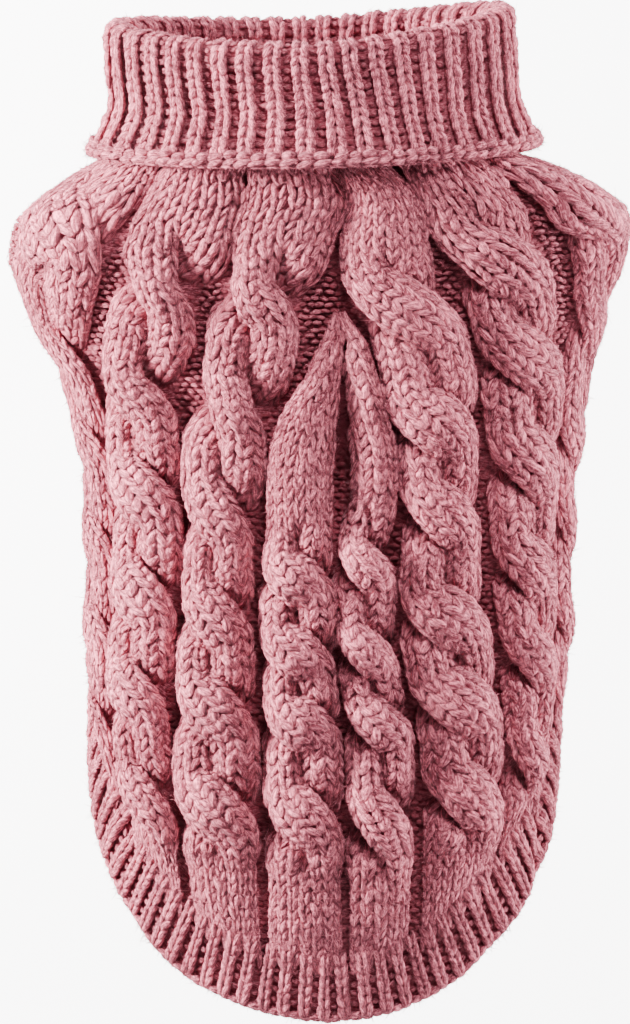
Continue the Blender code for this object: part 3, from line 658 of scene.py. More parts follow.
def make_cable(k):
    table = CABLES[k]
    top = min(43.5, table[0][0] + 0.0)
    mid_a = 0.5 * (table[-1][1] + table[-1][2])
    groups = []
    for rope in (0, 1):
        cols, ys, sl, rate = [], [], [], []
        stops = -999.0
        count = rope_columns(k)
        wide = 4.0 / count                          # one column in rope units
        # rows keep their height along the rope, whichever way it runs
        fine = np.linspace(top, -204.0, 900)
        path = rope_place(k, rope, np.zeros(900), fine, np.zeros(900))
        step = np.linalg.norm(np.diff(path, axis=0), axis=1)
        arc = np.concatenate([[0.0], np.cumsum(step)])
        every = np.interp(np.arange(0.5, arc[-1] / ROW) * ROW, arc, fine)
        share = np.interp(-every, -0.5 * (fine[1:] + fine[:-1]), -np.diff(fine) / step)
        for j in range(count):
            c = (j + 0.5) * wide - 2.0
            # each column ends where it meets the hem
            y_try = np.full(1, -150.0)
            for _ in range(8):
                m, sp, half = cable_frame(k, y_try)
                side = crossing_state(k, rope, y_try)[0]
                a = m + (0.5 * half * side + c * 0.25 * half) / sp
                y_try = panel_end(a)
            stop = float(y_try[0]) - 2.6
            stops = max(stops, stop)
            rows = every[every > stop]
            rate.append(share[every > stop])
            cols.append(np.full(len(rows), c))
            ys.append(rows + jitter(len(rows), 0.12) * rate[-1])
            sl.append(np.full(len(rows), 1.0 if (j + count * rope) % 2 else -1.0))
        cols, ys, sl, rate = [np.concatenate(v) for v in (cols, ys, sl, rate)]
        if k in (3, 4):
            # the pleat swallows the columns next to it, from its side, where the cable is narrow
            j = (cols + 2.0) / wide - 0.5
            idx = rope * count + j if k == 3 else (1 - rope) * count + (count - 1 - j)
            fit = 2.0 * count * np.clip(cable_frame(k, ys)[2] / 9.3, 0.05, 1.0)
            u = (2.0 * (idx + 0.5) / fit - 1.0) * (1.0 if k == 3 else -1.0)
            top_a = plain_amount(k, ys)[0]
            moved = 2.0 * (2.0 * u - crossing_state(k, rope, ys)[0])
            cols = cols + (moved - cols) * top_a
            keep = (idx + 0.2 < fit) | (top_a < 0.5)
            cols, ys, sl, rate, fit = cols[keep], ys[keep], sl[keep], rate[keep], fit[keep]
            wide = wide * (2.0 * count / fit) ** plain_amount(k, ys)[0]
        # what another rope covers isn't made
        seen = ~((crossing_state(k, rope, ys)[2] > 0.93) & (np.abs(cols) < 1.0) & (plain_amount(k, ys)[1] < 0.3)
                 & (plain_amount(k, ys)[0] < 0.3))
        cols, ys, sl, rate = cols[seen], ys[seen], sl[seen], rate[seen]
        if np.ndim(wide):
            wide = wide[seen]
        n = len(cols)
        unit = cable_frame(k, ys)[2] / 4.0          # mm
        column = unit * wide
        shade = rng.uniform(0, 1, n)
        cols = cols + jitter(n, 0.06) * wide
        p, q, t, painted_shade, tone, yarn = strands(
            cols, ys, (3.05 + jitter(n, 0.22)) * rate, (sl + jitter(n, 0.24)) * np.minimum(0.37 * wide, 0.58 / unit),
            np.minimum(0.62 * wide, (1.65 if k in (0, 7) else 1.35) * YARN / unit) * (1.0 + jitter(n, 0.09)),
            (YARN + jitter(n, 0.06)) * np.clip(column / 1.1, 0.3, 1.0), 0.20, jitter(n, 0.14),
            shade, sides=5, rings=4, tilt=0.36)
        # fibres are measured across the yarn in mm, and a rope that passes under gets painted shade, darkest toward the
        # middle of the crossing
        each = len(painted_shade) // n
        yarn[:, 1] *= np.repeat(unit, each)
        under = crossing_state(k, rope, ys)[2]
        painted_shade = painted_shade * np.repeat(1.0 - 0.58 * smooth(under / 0.85), each)
        # the lobe's width is in columns and its length in mm
        p = rope_place(k, rope, p[:, 0], p[:, 1], p[:, 2])
        groups.append((p, q, t, painted_shade, tone, yarn))
        groups.append(rope_core(k, rope, top, stops + 3.0))
    return knit_object(f"cable_{k + 1}", groups)


def rope_core(k, rope, top, stop):
    """The inside of a rope: a closed tube just under its stitches, painted dark as the shade there."""
    n = max(6, int((top - stop) / 2.2))
    y = np.linspace(top + 1.0, stop, n)[:, None]
    col = np.array((-2.0, -1.2, -0.4, 0.4, 1.2, 2.0, 1.0, -1.0))[None, :]
    h = np.array((-0.6, -0.4, -0.3, -0.3, -0.4, -0.6, -2.8, -2.8))[None, :]
    y, col, h = np.broadcast_arrays(y, col, h)
    p = rope_place(k, rope, col, y, h).reshape(-1, 3)
    m = 8
    q = []
    for i in range(n - 1):
        for j in range(m):
            a, b = i * m + j, i * m + (j + 1) % m
            q.append((a, b, b + m, a + m))
    ends = [[i for i in range(m)][::-1], [(n - 1) * m + i for i in range(m)]]
    t = []
    for loop in ends:
        for i in range(1, m - 1):
            t.append((loop[0], loop[i], loop[i + 1]))
    count = len(p)
    # the low painted shade value makes the core dark, standing in for the shade inside the rope
    return p, np.array(q), np.array(t), np.full(count, 0.30), np.full(count, 0.5), p * 1.0


# ------------------------------------------------------------------ purl ground
def outside_cables(angle, y, margin):
    """How far, in mm, a place lies outside the nearest cable."""
    best = np.full(np.shape(angle), 99.0)
    for k in range(8):
        e = cable_at[k](y)
        mid = 0.5 * (e[..., 0] + e[..., 1])
        sp = girth_speed(mid, y)
        d = np.maximum(e[..., 0] - angle, angle - e[..., 1]) * sp
        if k in (3, 4):
            d = np.where(y > CABLES[k][0][0], 99.0, d)
        best = np.minimum(best, d)
    return best > -margin


def make_purl():
    """Rows of purl bumps on the ground that shows between and beside the cables."""
    angles, ys = [], []
    for r, y in enumerate(np.arange(43.0, -194.0, -0.5 * ROW)):
        edge = float(seam_at(y) - leg_notch(y)) - 1.0
        a0 = np.arange(-edge, edge, 0.2)
        run = np.concatenate([[0.0], np.cumsum(girth_speed(0.5 * (a0[1:] + a0[:-1]), np.full(len(a0) - 1, y)) * 0.2)])
        run = run - np.interp(0.0, a0, run)
        step = WALE
        first = math.ceil(run[0] / step)
        want = (np.arange(first, int(run[-1] / step)) + 0.5 * (r % 2)) * step
        a = np.interp(want, run, a0)
        keep = outside_cables(a, np.full(len(a), y), 1.4)
        a = a[keep]
        end = panel_end(a)
        a = a[y > end - 0.4]
        angles.append(a)
        ys.append(np.full(len(a), y))
    a, y = np.concatenate(angles), np.concatenate(ys)
    n = len(a)
    # the lobe lies across: strands() runs along y, so its axes are swapped
    p, q, t, painted_shade, tone, yarn = strands(
        jitter(n, 0.22), jitter(n, 0.25), 1.75 + jitter(n, 0.2), jitter(n, 0.32), 0.88 + jitter(n, 0.08), 0.80, 0.5,
        jitter(n, 0.16), rng.uniform(0, 1, n), sides=4, rings=3, bend=0.25)
    reach = 14
    aa, yy = np.repeat(a, reach), np.repeat(y, reach)
    sp = girth_speed(aa, yy)
    pts = cloth(aa - p[:, 1] / sp, yy + p[:, 0], p[:, 2] - 0.15)
    sunk = np.clip(-gutter_depth(aa, yy) / 3.2, 0.0, 1.0)
    near = np.zeros(n)
    for margin in (-2.6, -1.6, -0.6, 0.4):
        near += 0.25 * (1.0 - outside_cables(a, y, margin))
    free = np.zeros(n)
    for margin in (-2.2, -3.2, -4.2, -5.2):
        free += 0.25 * outside_cables(a, y, margin)
    free = np.repeat(free, reach) * (1.0 - sunk) * smooth((70.0 - np.abs(aa)) / 16.0)
    pts = pts + (1.7 * free)[:, None] * tube_normal(aa, yy)
    pts = pts - (0.8 * np.repeat(near, reach))[:, None] * tube_normal(aa, yy)
    # painted shade: the bumps are darker in the troughs and next to the cables, and lighter on open ground
    shade = (1.0 - 0.90 * sunk) * (1.0 - 0.80 * np.repeat(near, reach)) * (1.0 + 0.30 * free)
    return knit_object("purl_ground", [(pts, q, t, painted_shade * shade, tone, yarn)])


# ------------------------------------------------------------------ plain chest
def belly_edge(y):
    return seam_at(y) + leg_notch(y)


def make_belly_knit():
    """Plain knitting of the chest panel, with straight columns down its length."""
    groups_c, groups_y, sl = [], [], []
    lower = -94.0 + RIB_BAND + 1.0
    for w in range(-32, 33):
        for leg, sign in ((-0.25, -1.0), (0.25, 1.0)):
            x = (w + leg) * WALE
            rows = np.arange(46.0, lower - 30.0, -ROW)
            groups_c.append(np.full(len(rows), x))
            groups_y.append(rows)
            sl.append(np.full(len(rows), sign))
    x, y, sl = [np.concatenate(v) for v in (groups_c, groups_y, sl)]
    a = belly_angle_of(x, y)
    rel = 180.0 - np.abs((a % 360.0) - 180.0)
    inside = rel > belly_edge(y) + 1.3
    end = panel_end(a)
    inside &= y > end + 1.5
    inside &= y < neck_y(a) + 0.5
    x, y, sl = x[inside], y[inside], sl[inside]
    n = len(x)
    p, q, t, painted_shade, tone, yarn = strands(
        x + jitter(n, 0.06), y + jitter(n, 0.08), 2.4, sl * 0.42, 0.76, 0.72, 0.35, 0.0,
        rng.uniform(0, 1, n), sides=4, rings=3)
    pts = cloth(belly_angle_of(p[:, 0], p[:, 1]), p[:, 1], p[:, 2] - 0.1)
    return knit_object("belly_knit", [(pts, q, t, painted_shade, tone, yarn)])


_ba = np.arange(90.0, 270.01, 1.0)
_by = np.array(SECTIONS)[:, 0][::-1]
_run = []
for _y in _by:
    _sp = girth_speed(_ba, np.full_like(_ba, _y))
    _c = np.concatenate([[0.0], np.cumsum(0.5 * (_sp[1:] + _sp[:-1]))])
    _run.append(_c - np.interp(180.0, _ba, _c))
_run = np.array(_run)


def belly_angle_of(x, y):
    """Angle of a place x mm from the chest line (plus toward the wearer's left as drawn)."""
    i = np.clip(np.searchsorted(_by, y) - 1, 0, len(_by) - 2)
    f = np.clip((y - _by[i]) / (_by[i + 1] - _by[i]), 0.0, 1.0)
    out = np.empty(np.shape(x))
    for j in range(len(_by) - 1):
        pick = i == j
        if not np.any(pick):
            continue
        lo = np.interp(x[pick], _run[j], _ba)
        hi = np.interp(x[pick], _run[j + 1], _ba)
        out[pick] = lo + (hi - lo) * f[pick]
    return out


# ----------------------------------------------------------------------- ribs
def make_collar_knit():
    ribs = int(round(COLLAR_GIRTH / COLLAR_RIB))
    pitch = COLLAR_GIRTH / ribs
    outer, inner = [], []
    rows = np.arange(5.2, PROFILE_END - 1.0, COLLAR_ROW)
    c, s, sl, rr = [], [], [], []
    for i in range(ribs):
        run = (i + 0.5) * pitch - 0.5 * COLLAR_GIRTH + float(jitter(1, 0.12)[0])
        for leg, sign in ((-1.22, 1.0), (1.22, -1.0)):
            c.append(run + leg + 0 * rows)
            s.append(rows + jitter(len(rows), 0.08))
            sl.append(np.full(len(rows), sign))
    c, s, sl = [np.concatenate(v) for v in (c, s, sl)]
    n = len(c)
    lean = collar_lean(c, s)
    shade = rng.uniform(0, 1, n)
    groups = []
    p, q, t, painted_shade, tone, yarn = strands(
        c, s, 2.5 + jitter(n, 0.15), sl * 0.60 + jitter(n, 0.14), 1.34 + jitter(n, 0.10),
        1.05, 0.22, -0.72 + jitter(n, 0.14), shade, sides=5, rings=5, tilt=0.28)
    pts = collar_place(p[:, 0] + collar_lean(p[:, 0], p[:, 1]), p[:, 1], p[:, 2])
    return pts, q, t, painted_shade, tone, yarn


_pitch = COLLAR_GIRTH / round(COLLAR_GIRTH / COLLAR_RIB)
COLLAR_SEAM = round((9.0 + 0.5 * COLLAR_GIRTH) / _pitch) * _pitch - 0.5 * COLLAR_GIRTH


def collar_lean(run, s):
    """Ribs right of the collar's seam lean a little."""
    near = np.exp(-0.5 * ((run - 14.0) / 16.0) ** 2)
    off = run - COLLAR_SEAM
    part = -0.60 * np.tanh(off / 1.4) * np.exp(-np.abs(off) / 9.0)
    return part + near * 2.4 * (1.0 - np.clip(s / 34.0, 0.0, 1.0)) + 0.5 * np.sin(run * 0.11 + s * 0.05)


def make_collar():
    pts, q, t, painted_shade, tone, yarn = make_collar_knit()
    ribs = int(round(COLLAR_GIRTH / COLLAR_RIB))
    pitch = COLLAR_GIRTH / ribs
    knit = knit_object("collar_knit", [(pts, q, t, painted_shade, tone, yarn)])
    # purl bumps at the bottom of the grooves
    rows = np.arange(4.8, PROFILE_END - 1.0, COLLAR_ROW)
    c = np.repeat(np.arange(ribs) * pitch - 0.5 * COLLAR_GIRTH, len(rows))
    s = np.tile(rows, ribs)
    n = len(c)
    p, q, t, painted_shade, tone, yarn = strands(
        jitter(n, 0.3), jitter(n, 0.35), 1.45 + jitter(n, 0.2), rng.choice((-0.4, 0.4), n) + jitter(n, 0.3), 1.15, 0.50,
        0.3, jitter(n, 0.16),
        rng.uniform(0, 1, n), sides=4, rings=3)
    cc, ss = np.repeat(c, 14), np.repeat(s, 14)
    run, up = cc + p[:, 1], ss - p[:, 0]
    seam = np.exp(-((cc - COLLAR_SEAM) / 2.0) ** 2)
    low = -1.95 - 0.25 * seam + 1.1 * np.exp(-0.5 * ((ss - RIM_S) / 5.0) ** 2)
    pts = collar_place(run + collar_lean(run, up), up, p[:, 2] + low)
    # painted shade: the purl bumps in the grooves are darker, darkest at the seam
    purl = (pts, q, t, painted_shade * 0.42 * (1.0 - 0.85 * seam), tone, yarn)
    # cast-off edge: a chain of stitches lying along the rim
    links = ribs * 2
    step = COLLAR_GIRTH / links
    at = np.arange(links) * step - 0.5 * COLLAR_GIRTH
    chain = []
    for height, slant, lift, long_, wide in ((3.5, 0.25, 0.45, 2.2, 1.25), (1.6, 0.65, 0.70, 2.7, 1.10),
                                             (0.1, -0.45, -0.1, 2.6, 0.95)):
        p, q, t, painted_shade, tone, yarn = strands(
            jitter(links, 0.20), jitter(links, 0.25), long_ + jitter(links, 0.15), slant + jitter(links, 0.15),
            wide + jitter(links, 0.08), 1.0, 0.5, jitter(links, 0.12), rng.uniform(0, 1, links), sides=7, rings=6)
        cc = np.repeat(at, 7 * 6 + 2)
        run = cc + p[:, 1]
        pts = collar_place(run + collar_lean(run, 0 * run), height + p[:, 0], lift + p[:, 2])
        chain.append((pts, q, t, painted_shade, tone, yarn))
    edge = knit_object("collar_edge", [purl] + chain)
    return knit, edge


def make_hem():
    total = 2.0 * EDGE_HALF
    ribs = int(round(total / HEM_RIB))
    pitch = total / ribs
    rows = np.arange(2.5, RIB_BAND + 3.0, HEM_ROW)
    c, s, sl = [], [], []
    for i in range(ribs):
        run = EDGE_MID - EDGE_HALF + (i + 0.5) * pitch + float(jitter(1, 0.15)[0])
        for leg, sign in ((-1.06, -1.0), (1.06, 1.0)):
            c.append(run + leg + 0 * rows)
            s.append(rows + jitter(len(rows), 0.1))
            sl.append(np.full(len(rows), sign))
    c, s, sl = [np.concatenate(v) for v in (c, s, sl)]
    n = len(c)
    shade = rng.uniform(0, 1, n)
    p, q, t, painted_shade, tone, yarn = strands(
        c, s, 2.55 + jitter(n, 0.12), sl * 0.58 + jitter(n, 0.12), 1.2 + jitter(n, 0.08), 0.95, 0.22, 0.72 + jitter(n, 0.12),
        shade, sides=5, rings=5, tilt=0.28)
    knit = [(hem_place(p[:, 0], p[:, 1], p[:, 2] + 0.1), q, t, painted_shade, tone, yarn)]
    rows = np.arange(1.2, RIB_BAND + 2.0, HEM_ROW)
    cc = np.repeat(EDGE_MID - EDGE_HALF + np.arange(ribs) * pitch, len(rows))
    ss = np.tile(rows, ribs)
    n = len(cc)
    p, q, t, painted_shade, tone, yarn = strands(
        jitter(n, 0.3), jitter(n, 0.25), 1.8, jitter(n, 0.35), 1.05, 0.68, 0.2, jitter(n, 0.14),
        rng.uniform(0, 1, n), sides=4, rings=3)
    cc, ss = np.repeat(cc, 14), np.repeat(ss, 14)
    pts = hem_place(cc + p[:, 1], ss + p[:, 0], p[:, 2] - 0.25)
    # painted shade: the purl bumps in the grooves between ribs are darker
    purl = (pts, q, t, painted_shade * 0.58, tone, yarn)
    links = ribs * 2
    step = total / links
    at = EDGE_MID - EDGE_HALF + np.arange(links) * step
    chain = []
    for height, sign, lift in ((0.85, 1.0, 0.35), (0.25, -1.0, -0.5)):
        p, q, t, painted_shade, tone, yarn = strands(
            jitter(links, 0.12), jitter(links, 0.2), 2.6, sign * 0.40, 0.90, 0.95, 0.4, 0.0,
            rng.uniform(0, 1, links), sides=6, rings=5)
        cc = np.repeat(at, 6 * 5 + 2)
        pts = hem_place(cc + p[:, 1], height + p[:, 0], lift + p[:, 2])
        chain.append((pts, q, t, painted_shade, tone, yarn))
    return knit_object("hem_knit", knit + [purl] + chain)


def make_leg_edges():
    """A plain cast-off chain round each leg opening."""
    groups = []
    for side in (-1.0, 1.0):
        tau = np.linspace(0.0, 2.0 * math.pi, 400, endpoint=False)

        def at(t, out):
            y = LEG_CENTRE_Y + (LEG_HALF_LENGTH + out) * np.sin(t)
            a = seam_at(y) + (LEG_HALF_ANGLE + out / 0.9) * np.cos(t)
            return side * a, y

        a, y = at(tau, 0.0)
        p = cloth(a, y, 0.0)
        run = np.concatenate([[0.0], np.cumsum(np.linalg.norm(np.diff(np.vstack([p, p[:1]]), axis=0), axis=1))])
        total = run[-1]
        links = int(total / 3.9)
        pos = np.arange(links) * total / links
        for out, sign, lift in ((2.2, 1.0, 0.9), (0.3, -1.0, 0.7)):
            q_ = strands(jitter(links, 0.06), pos + jitter(links, 0.08), 2.8, sign * 0.7, 1.1, 1.15, 0.5, 0.0,
                         rng.uniform(0, 1, links), sides=6, rings=5)
            pp = q_[0]
            t = np.interp(pp[:, 1] % total, run, np.linspace(0.0, 2.0 * math.pi, 401))
            aa, yy = at(t, out + pp[:, 0])
            pts = cloth(aa, yy, lift + pp[:, 2])
            quads, tris = q_[1], q_[2]
            if side > 0:
                quads, tris = quads[:, ::-1], tris[:, ::-1]
            groups.append((pts, quads, tris) + tuple(q_[3:]))
    return knit_object("leg_opening_edges", groups)


# ----------------------------------------------------------------------- fuzz
def make_fuzz(name, sources, count):
    """Loose fibres that stand off the yarn: short thin spikes, rooted in its surface."""
    co, no = [], []
    for o in sources:
        n = len(o.data.vertices)
        c, m, v = np.empty(n * 3, np.float32), np.empty(n * 3, np.float32), np.empty(n, np.float32)
        o.data.vertices.foreach_get("co", c)
        o.data.vertices.foreach_get("normal", m)
        o.data.attributes["painted_shade"].data.foreach_get("value", v)
        pick = np.nonzero(v > 0.55)[0]
        co.append(c.reshape(-1, 3)[pick] * 1000.0)
        no.append(m.reshape(-1, 3)[pick])
    co, no = np.concatenate(co).astype(float), np.concatenate(no).astype(float)
    pick = rng.choice(len(co), count, replace=False)
    root, normal = co[pick], no[pick]
    side = rng.normal(0.0, 1.0, (count, 3))
    side -= (side * normal).sum(1)[:, None] * normal
    side /= np.linalg.norm(side, axis=1)[:, None]
    lean = rng.uniform(0.5, 1.5, (count, 1))
    long_ = rng.uniform(0.9, 3.0, (count, 1))
    d0 = normal + 0.5 * side * lean
    d0 /= np.linalg.norm(d0, axis=1)[:, None]
    tip = root + long_ * (0.55 * normal + 0.9 * side * lean + rng.normal(0.0, 0.22, (count, 3)))
    root = root - 0.25 * normal
    e1 = np.cross(d0, side)
    e1 /= np.linalg.norm(e1, axis=1)[:, None]
    e2 = np.cross(d0, e1)
    pts = [root + 0.125 * (math.cos(a) * e1 + math.sin(a) * e2) for a in (0.0, 2.0944, 4.1888)] + [tip]
    pts = np.stack(pts, axis=1)
    f = [(2, 1, 0), (0, 1, 3), (1, 2, 3), (2, 0, 3)]
    tris = (np.array(f)[None] + (np.arange(count) * 4)[:, None, None]).reshape(-1, 3)
    tone = np.repeat(rng.uniform(0.4, 1.0, count), 4)
    return make_mesh(name, pts.reshape(-1, 3), None, tris, np.full(count * 4, 0.95), tone)


# ------------------------------------------------------------------ base shells
def shell_object(name, outer, inner, deep):
    """Closed thin cloth between two grids of points, rows x columns."""
    rows, cols = outer.shape[:2]
    n = rows * cols
    idx = np.arange(n).reshape(rows, cols)
    o = np.stack([idx[:-1, :-1], idx[1:, :-1], idx[1:, 1:], idx[:-1, 1:]], axis=-1).reshape(-1, 4)
    i = np.stack([idx[:-1, :-1], idx[:-1, 1:], idx[1:, 1:], idx[1:, :-1]], axis=-1).reshape(-1, 4) + n
    side = []
    for e in (idx[:, 0][::-1], idx[-1, :][::-1], idx[:, -1], idx[0, :]):
        for a, b in zip(e[:-1], e[1:]):
            side.append((b, a, a + n, b + n)[::-1])
    quads = np.concatenate([o, i, np.array(side)])
    pts = np.concatenate([outer.reshape(-1, 3), inner.reshape(-1, 3)])
    # painted shade: the outer face is darker where it sinks into the troughs between cables
    painted_shade = np.concatenate([0.64 - 0.52 * deep.reshape(-1), np.full(n, 0.66)])
    inside = np.concatenate([np.zeros(n), np.ones(n)])
    run = np.cumsum(np.linalg.norm(np.diff(inner, axis=1, prepend=inner[:, :1]), axis=-1), axis=1)
    run = run - run[:, cols // 2:cols // 2 + 1]
    down = np.cumsum(np.linalg.norm(np.diff(inner, axis=0, prepend=inner[:1]), axis=-1), axis=0)
    down = np.broadcast_to(down[:, cols // 2:cols // 2 + 1], down.shape)
    place = np.stack([run, down, 0.0 * run], axis=-1).reshape(-1, 3)
    return pts, quads, painted_shade, inside, np.concatenate([place, place])


def panel_rows(angle_of, fracs, low_rows, lift_of):
    """Grid of the cloth from the neckline to the hem; returns outer and inner points."""
    upper = np.concatenate([[99.0], np.linspace(44.5, -50.0, 44)])
    outer, inner, deep = [], [], []
    f = np.asarray(fracs)
    for y in upper:
        if y > 90.0:
            yy = np.full(len(f), 47.0)
            a = angle_of(f, yy)
            yy = neck_y(a)
        else:
            yy = np.full(len(f), y)
            a = angle_of(f, yy)
        outer.append(cloth(a, yy, lift_of(a, yy)))
        inner.append(cloth(a, yy, -2.7))
        # how deep the trough is here, used to paint shade in the troughs
        deep.append(np.clip(-gutter_depth(a, yy) / 3.5, 0.0, 1.0))
    for i in range(1, low_rows + 1):
        t = i / low_rows
        yy = np.full(len(f), -60.0)
        for _ in range(5):
            a = angle_of(f, yy)
            yy = -50.0 + (panel_end(a) + 50.0) * t
        a = angle_of(f, yy)
        outer.append(cloth(a, yy, lift_of(a, yy)))
        inner.append(cloth(a, yy, -2.7))
        # how deep the trough is here, used to paint shade in the troughs
        deep.append(np.clip(-gutter_depth(a, yy) / 3.5, 0.0, 1.0))
    return np.array(outer), np.array(inner), np.array(deep)


def back_angle_of(f, y):
    edge = seam_at(y) - leg_notch(y) - 0.2
    return edge * (2.0 * f - 1.0)


def belly_angle_frac(f, y):
    edge = seam_at(y) + leg_notch(y) + 0.2
    return edge + (360.0 - 2.0 * edge) * f


def make_back_base():
    f = np.linspace(0.0, 1.0, 97)
    outer, inner, deep = panel_rows(back_angle_of, f, 52, lambda a, y: np.full(np.shape(a), -0.35))
    pts, quads, painted_shade, inside, place = shell_object("back_panel_cloth", outer, inner, deep)
    return make_mesh("back_panel_cloth", pts, quads, None, painted_shade, inside, place)


def make_belly_base():
    f = np.linspace(0.0, 1.0, 61)
    outer, inner, deep = panel_rows(belly_angle_frac, f, 16, lambda a, y: np.full(np.shape(a), -0.35))
    pts, quads, painted_shade, inside, place = shell_object("belly_panel_cloth", outer, inner, deep)
    return make_mesh("belly_panel_cloth", pts, quads, None, painted_shade, inside, place)


def ring_object(name, sections, painted_shade, inside, runs, along):
    """Closed ring: sections is loops x points."""
    n, m = sections.shape[:2]
    idx = np.arange(n * m).reshape(n, m)
    nxt = np.roll(idx, -1, axis=0)
    q = np.stack([idx, np.roll(idx, -1, axis=1), np.roll(nxt, -1, axis=1), nxt], axis=-1).reshape(-1, 4)
    place = np.stack(np.broadcast_arrays(runs[:, None], along[None, :], 0.0), axis=-1).reshape(-1, 3)
    return make_mesh(name, sections.reshape(-1, 3), q, None, np.tile(painted_shade, n), np.tile(inside, n), place)


def make_collar_base():
    runs = np.linspace(-0.5, 0.5, 200, endpoint=False) * COLLAR_GIRTH
    face = np.linspace(0.0, PROFILE_END, 36)
    pts, painted_shade = [], []
    for s in face:
        rim = math.exp(-0.5 * ((s - RIM_S) / 5.0) ** 2)
        pts.append(collar_place(runs, np.full(len(runs), s), -2.05 + 1.3 * rim + 0 * runs))
        # painted shade: the outer face of the collar cloth is dark where it shows between the ribs
        painted_shade.append(0.34)
    # back of the same cloth, from the inside bottom over to the turned-down edge
    thick = 3.6
    for s in np.linspace(PROFILE_END, 0.0, 36):
        mid = np.clip((s - 30.0) / 12.0, 0.0, 1.0)
        pts.append(collar_place(runs, np.full(len(runs), s), -thick + 0 * runs))
        painted_shade.append(0.5)
    sections = np.array(pts).transpose(1, 0, 2)
    inside = np.concatenate([np.zeros(36), np.ones(36)])
    along = np.concatenate([face, face[::-1]])
    return ring_object("collar_cloth", sections, np.array(painted_shade), inside, runs, along)


def make_hem_base():
    runs = np.linspace(-1.0, 1.0, 420, endpoint=False) * EDGE_HALF + EDGE_MID
    loop = []
    painted_shade = []
    for inset, lift in ((RIB_BAND + 0.6, -0.4), (12.0, -0.3), (7.0, -0.3), (2.0, -0.3), (0.2, -0.6),
                        (0.2, -2.4), (2.0, -2.7), (7.0, -2.7), (12.0, -2.7), (RIB_BAND + 0.6, -2.7)):
        loop.append(hem_place(runs, np.full(len(runs), inset), np.full(len(runs), lift)))
        # painted shade: the outer face is darker where it shows between the ribs
        painted_shade.append(0.28 if lift > -1.0 else 0.55)
    inside = np.array([0.0] * 5 + [1.0] * 5)
    along = np.array((17.0, 12.0, 7.0, 2.0, 0.2, 0.2, 2.0, 7.0, 12.0, 17.0))
    return ring_object("hem_rib_cloth", np.array(loop).transpose(1, 0, 2), np.array(painted_shade), inside, runs, along)


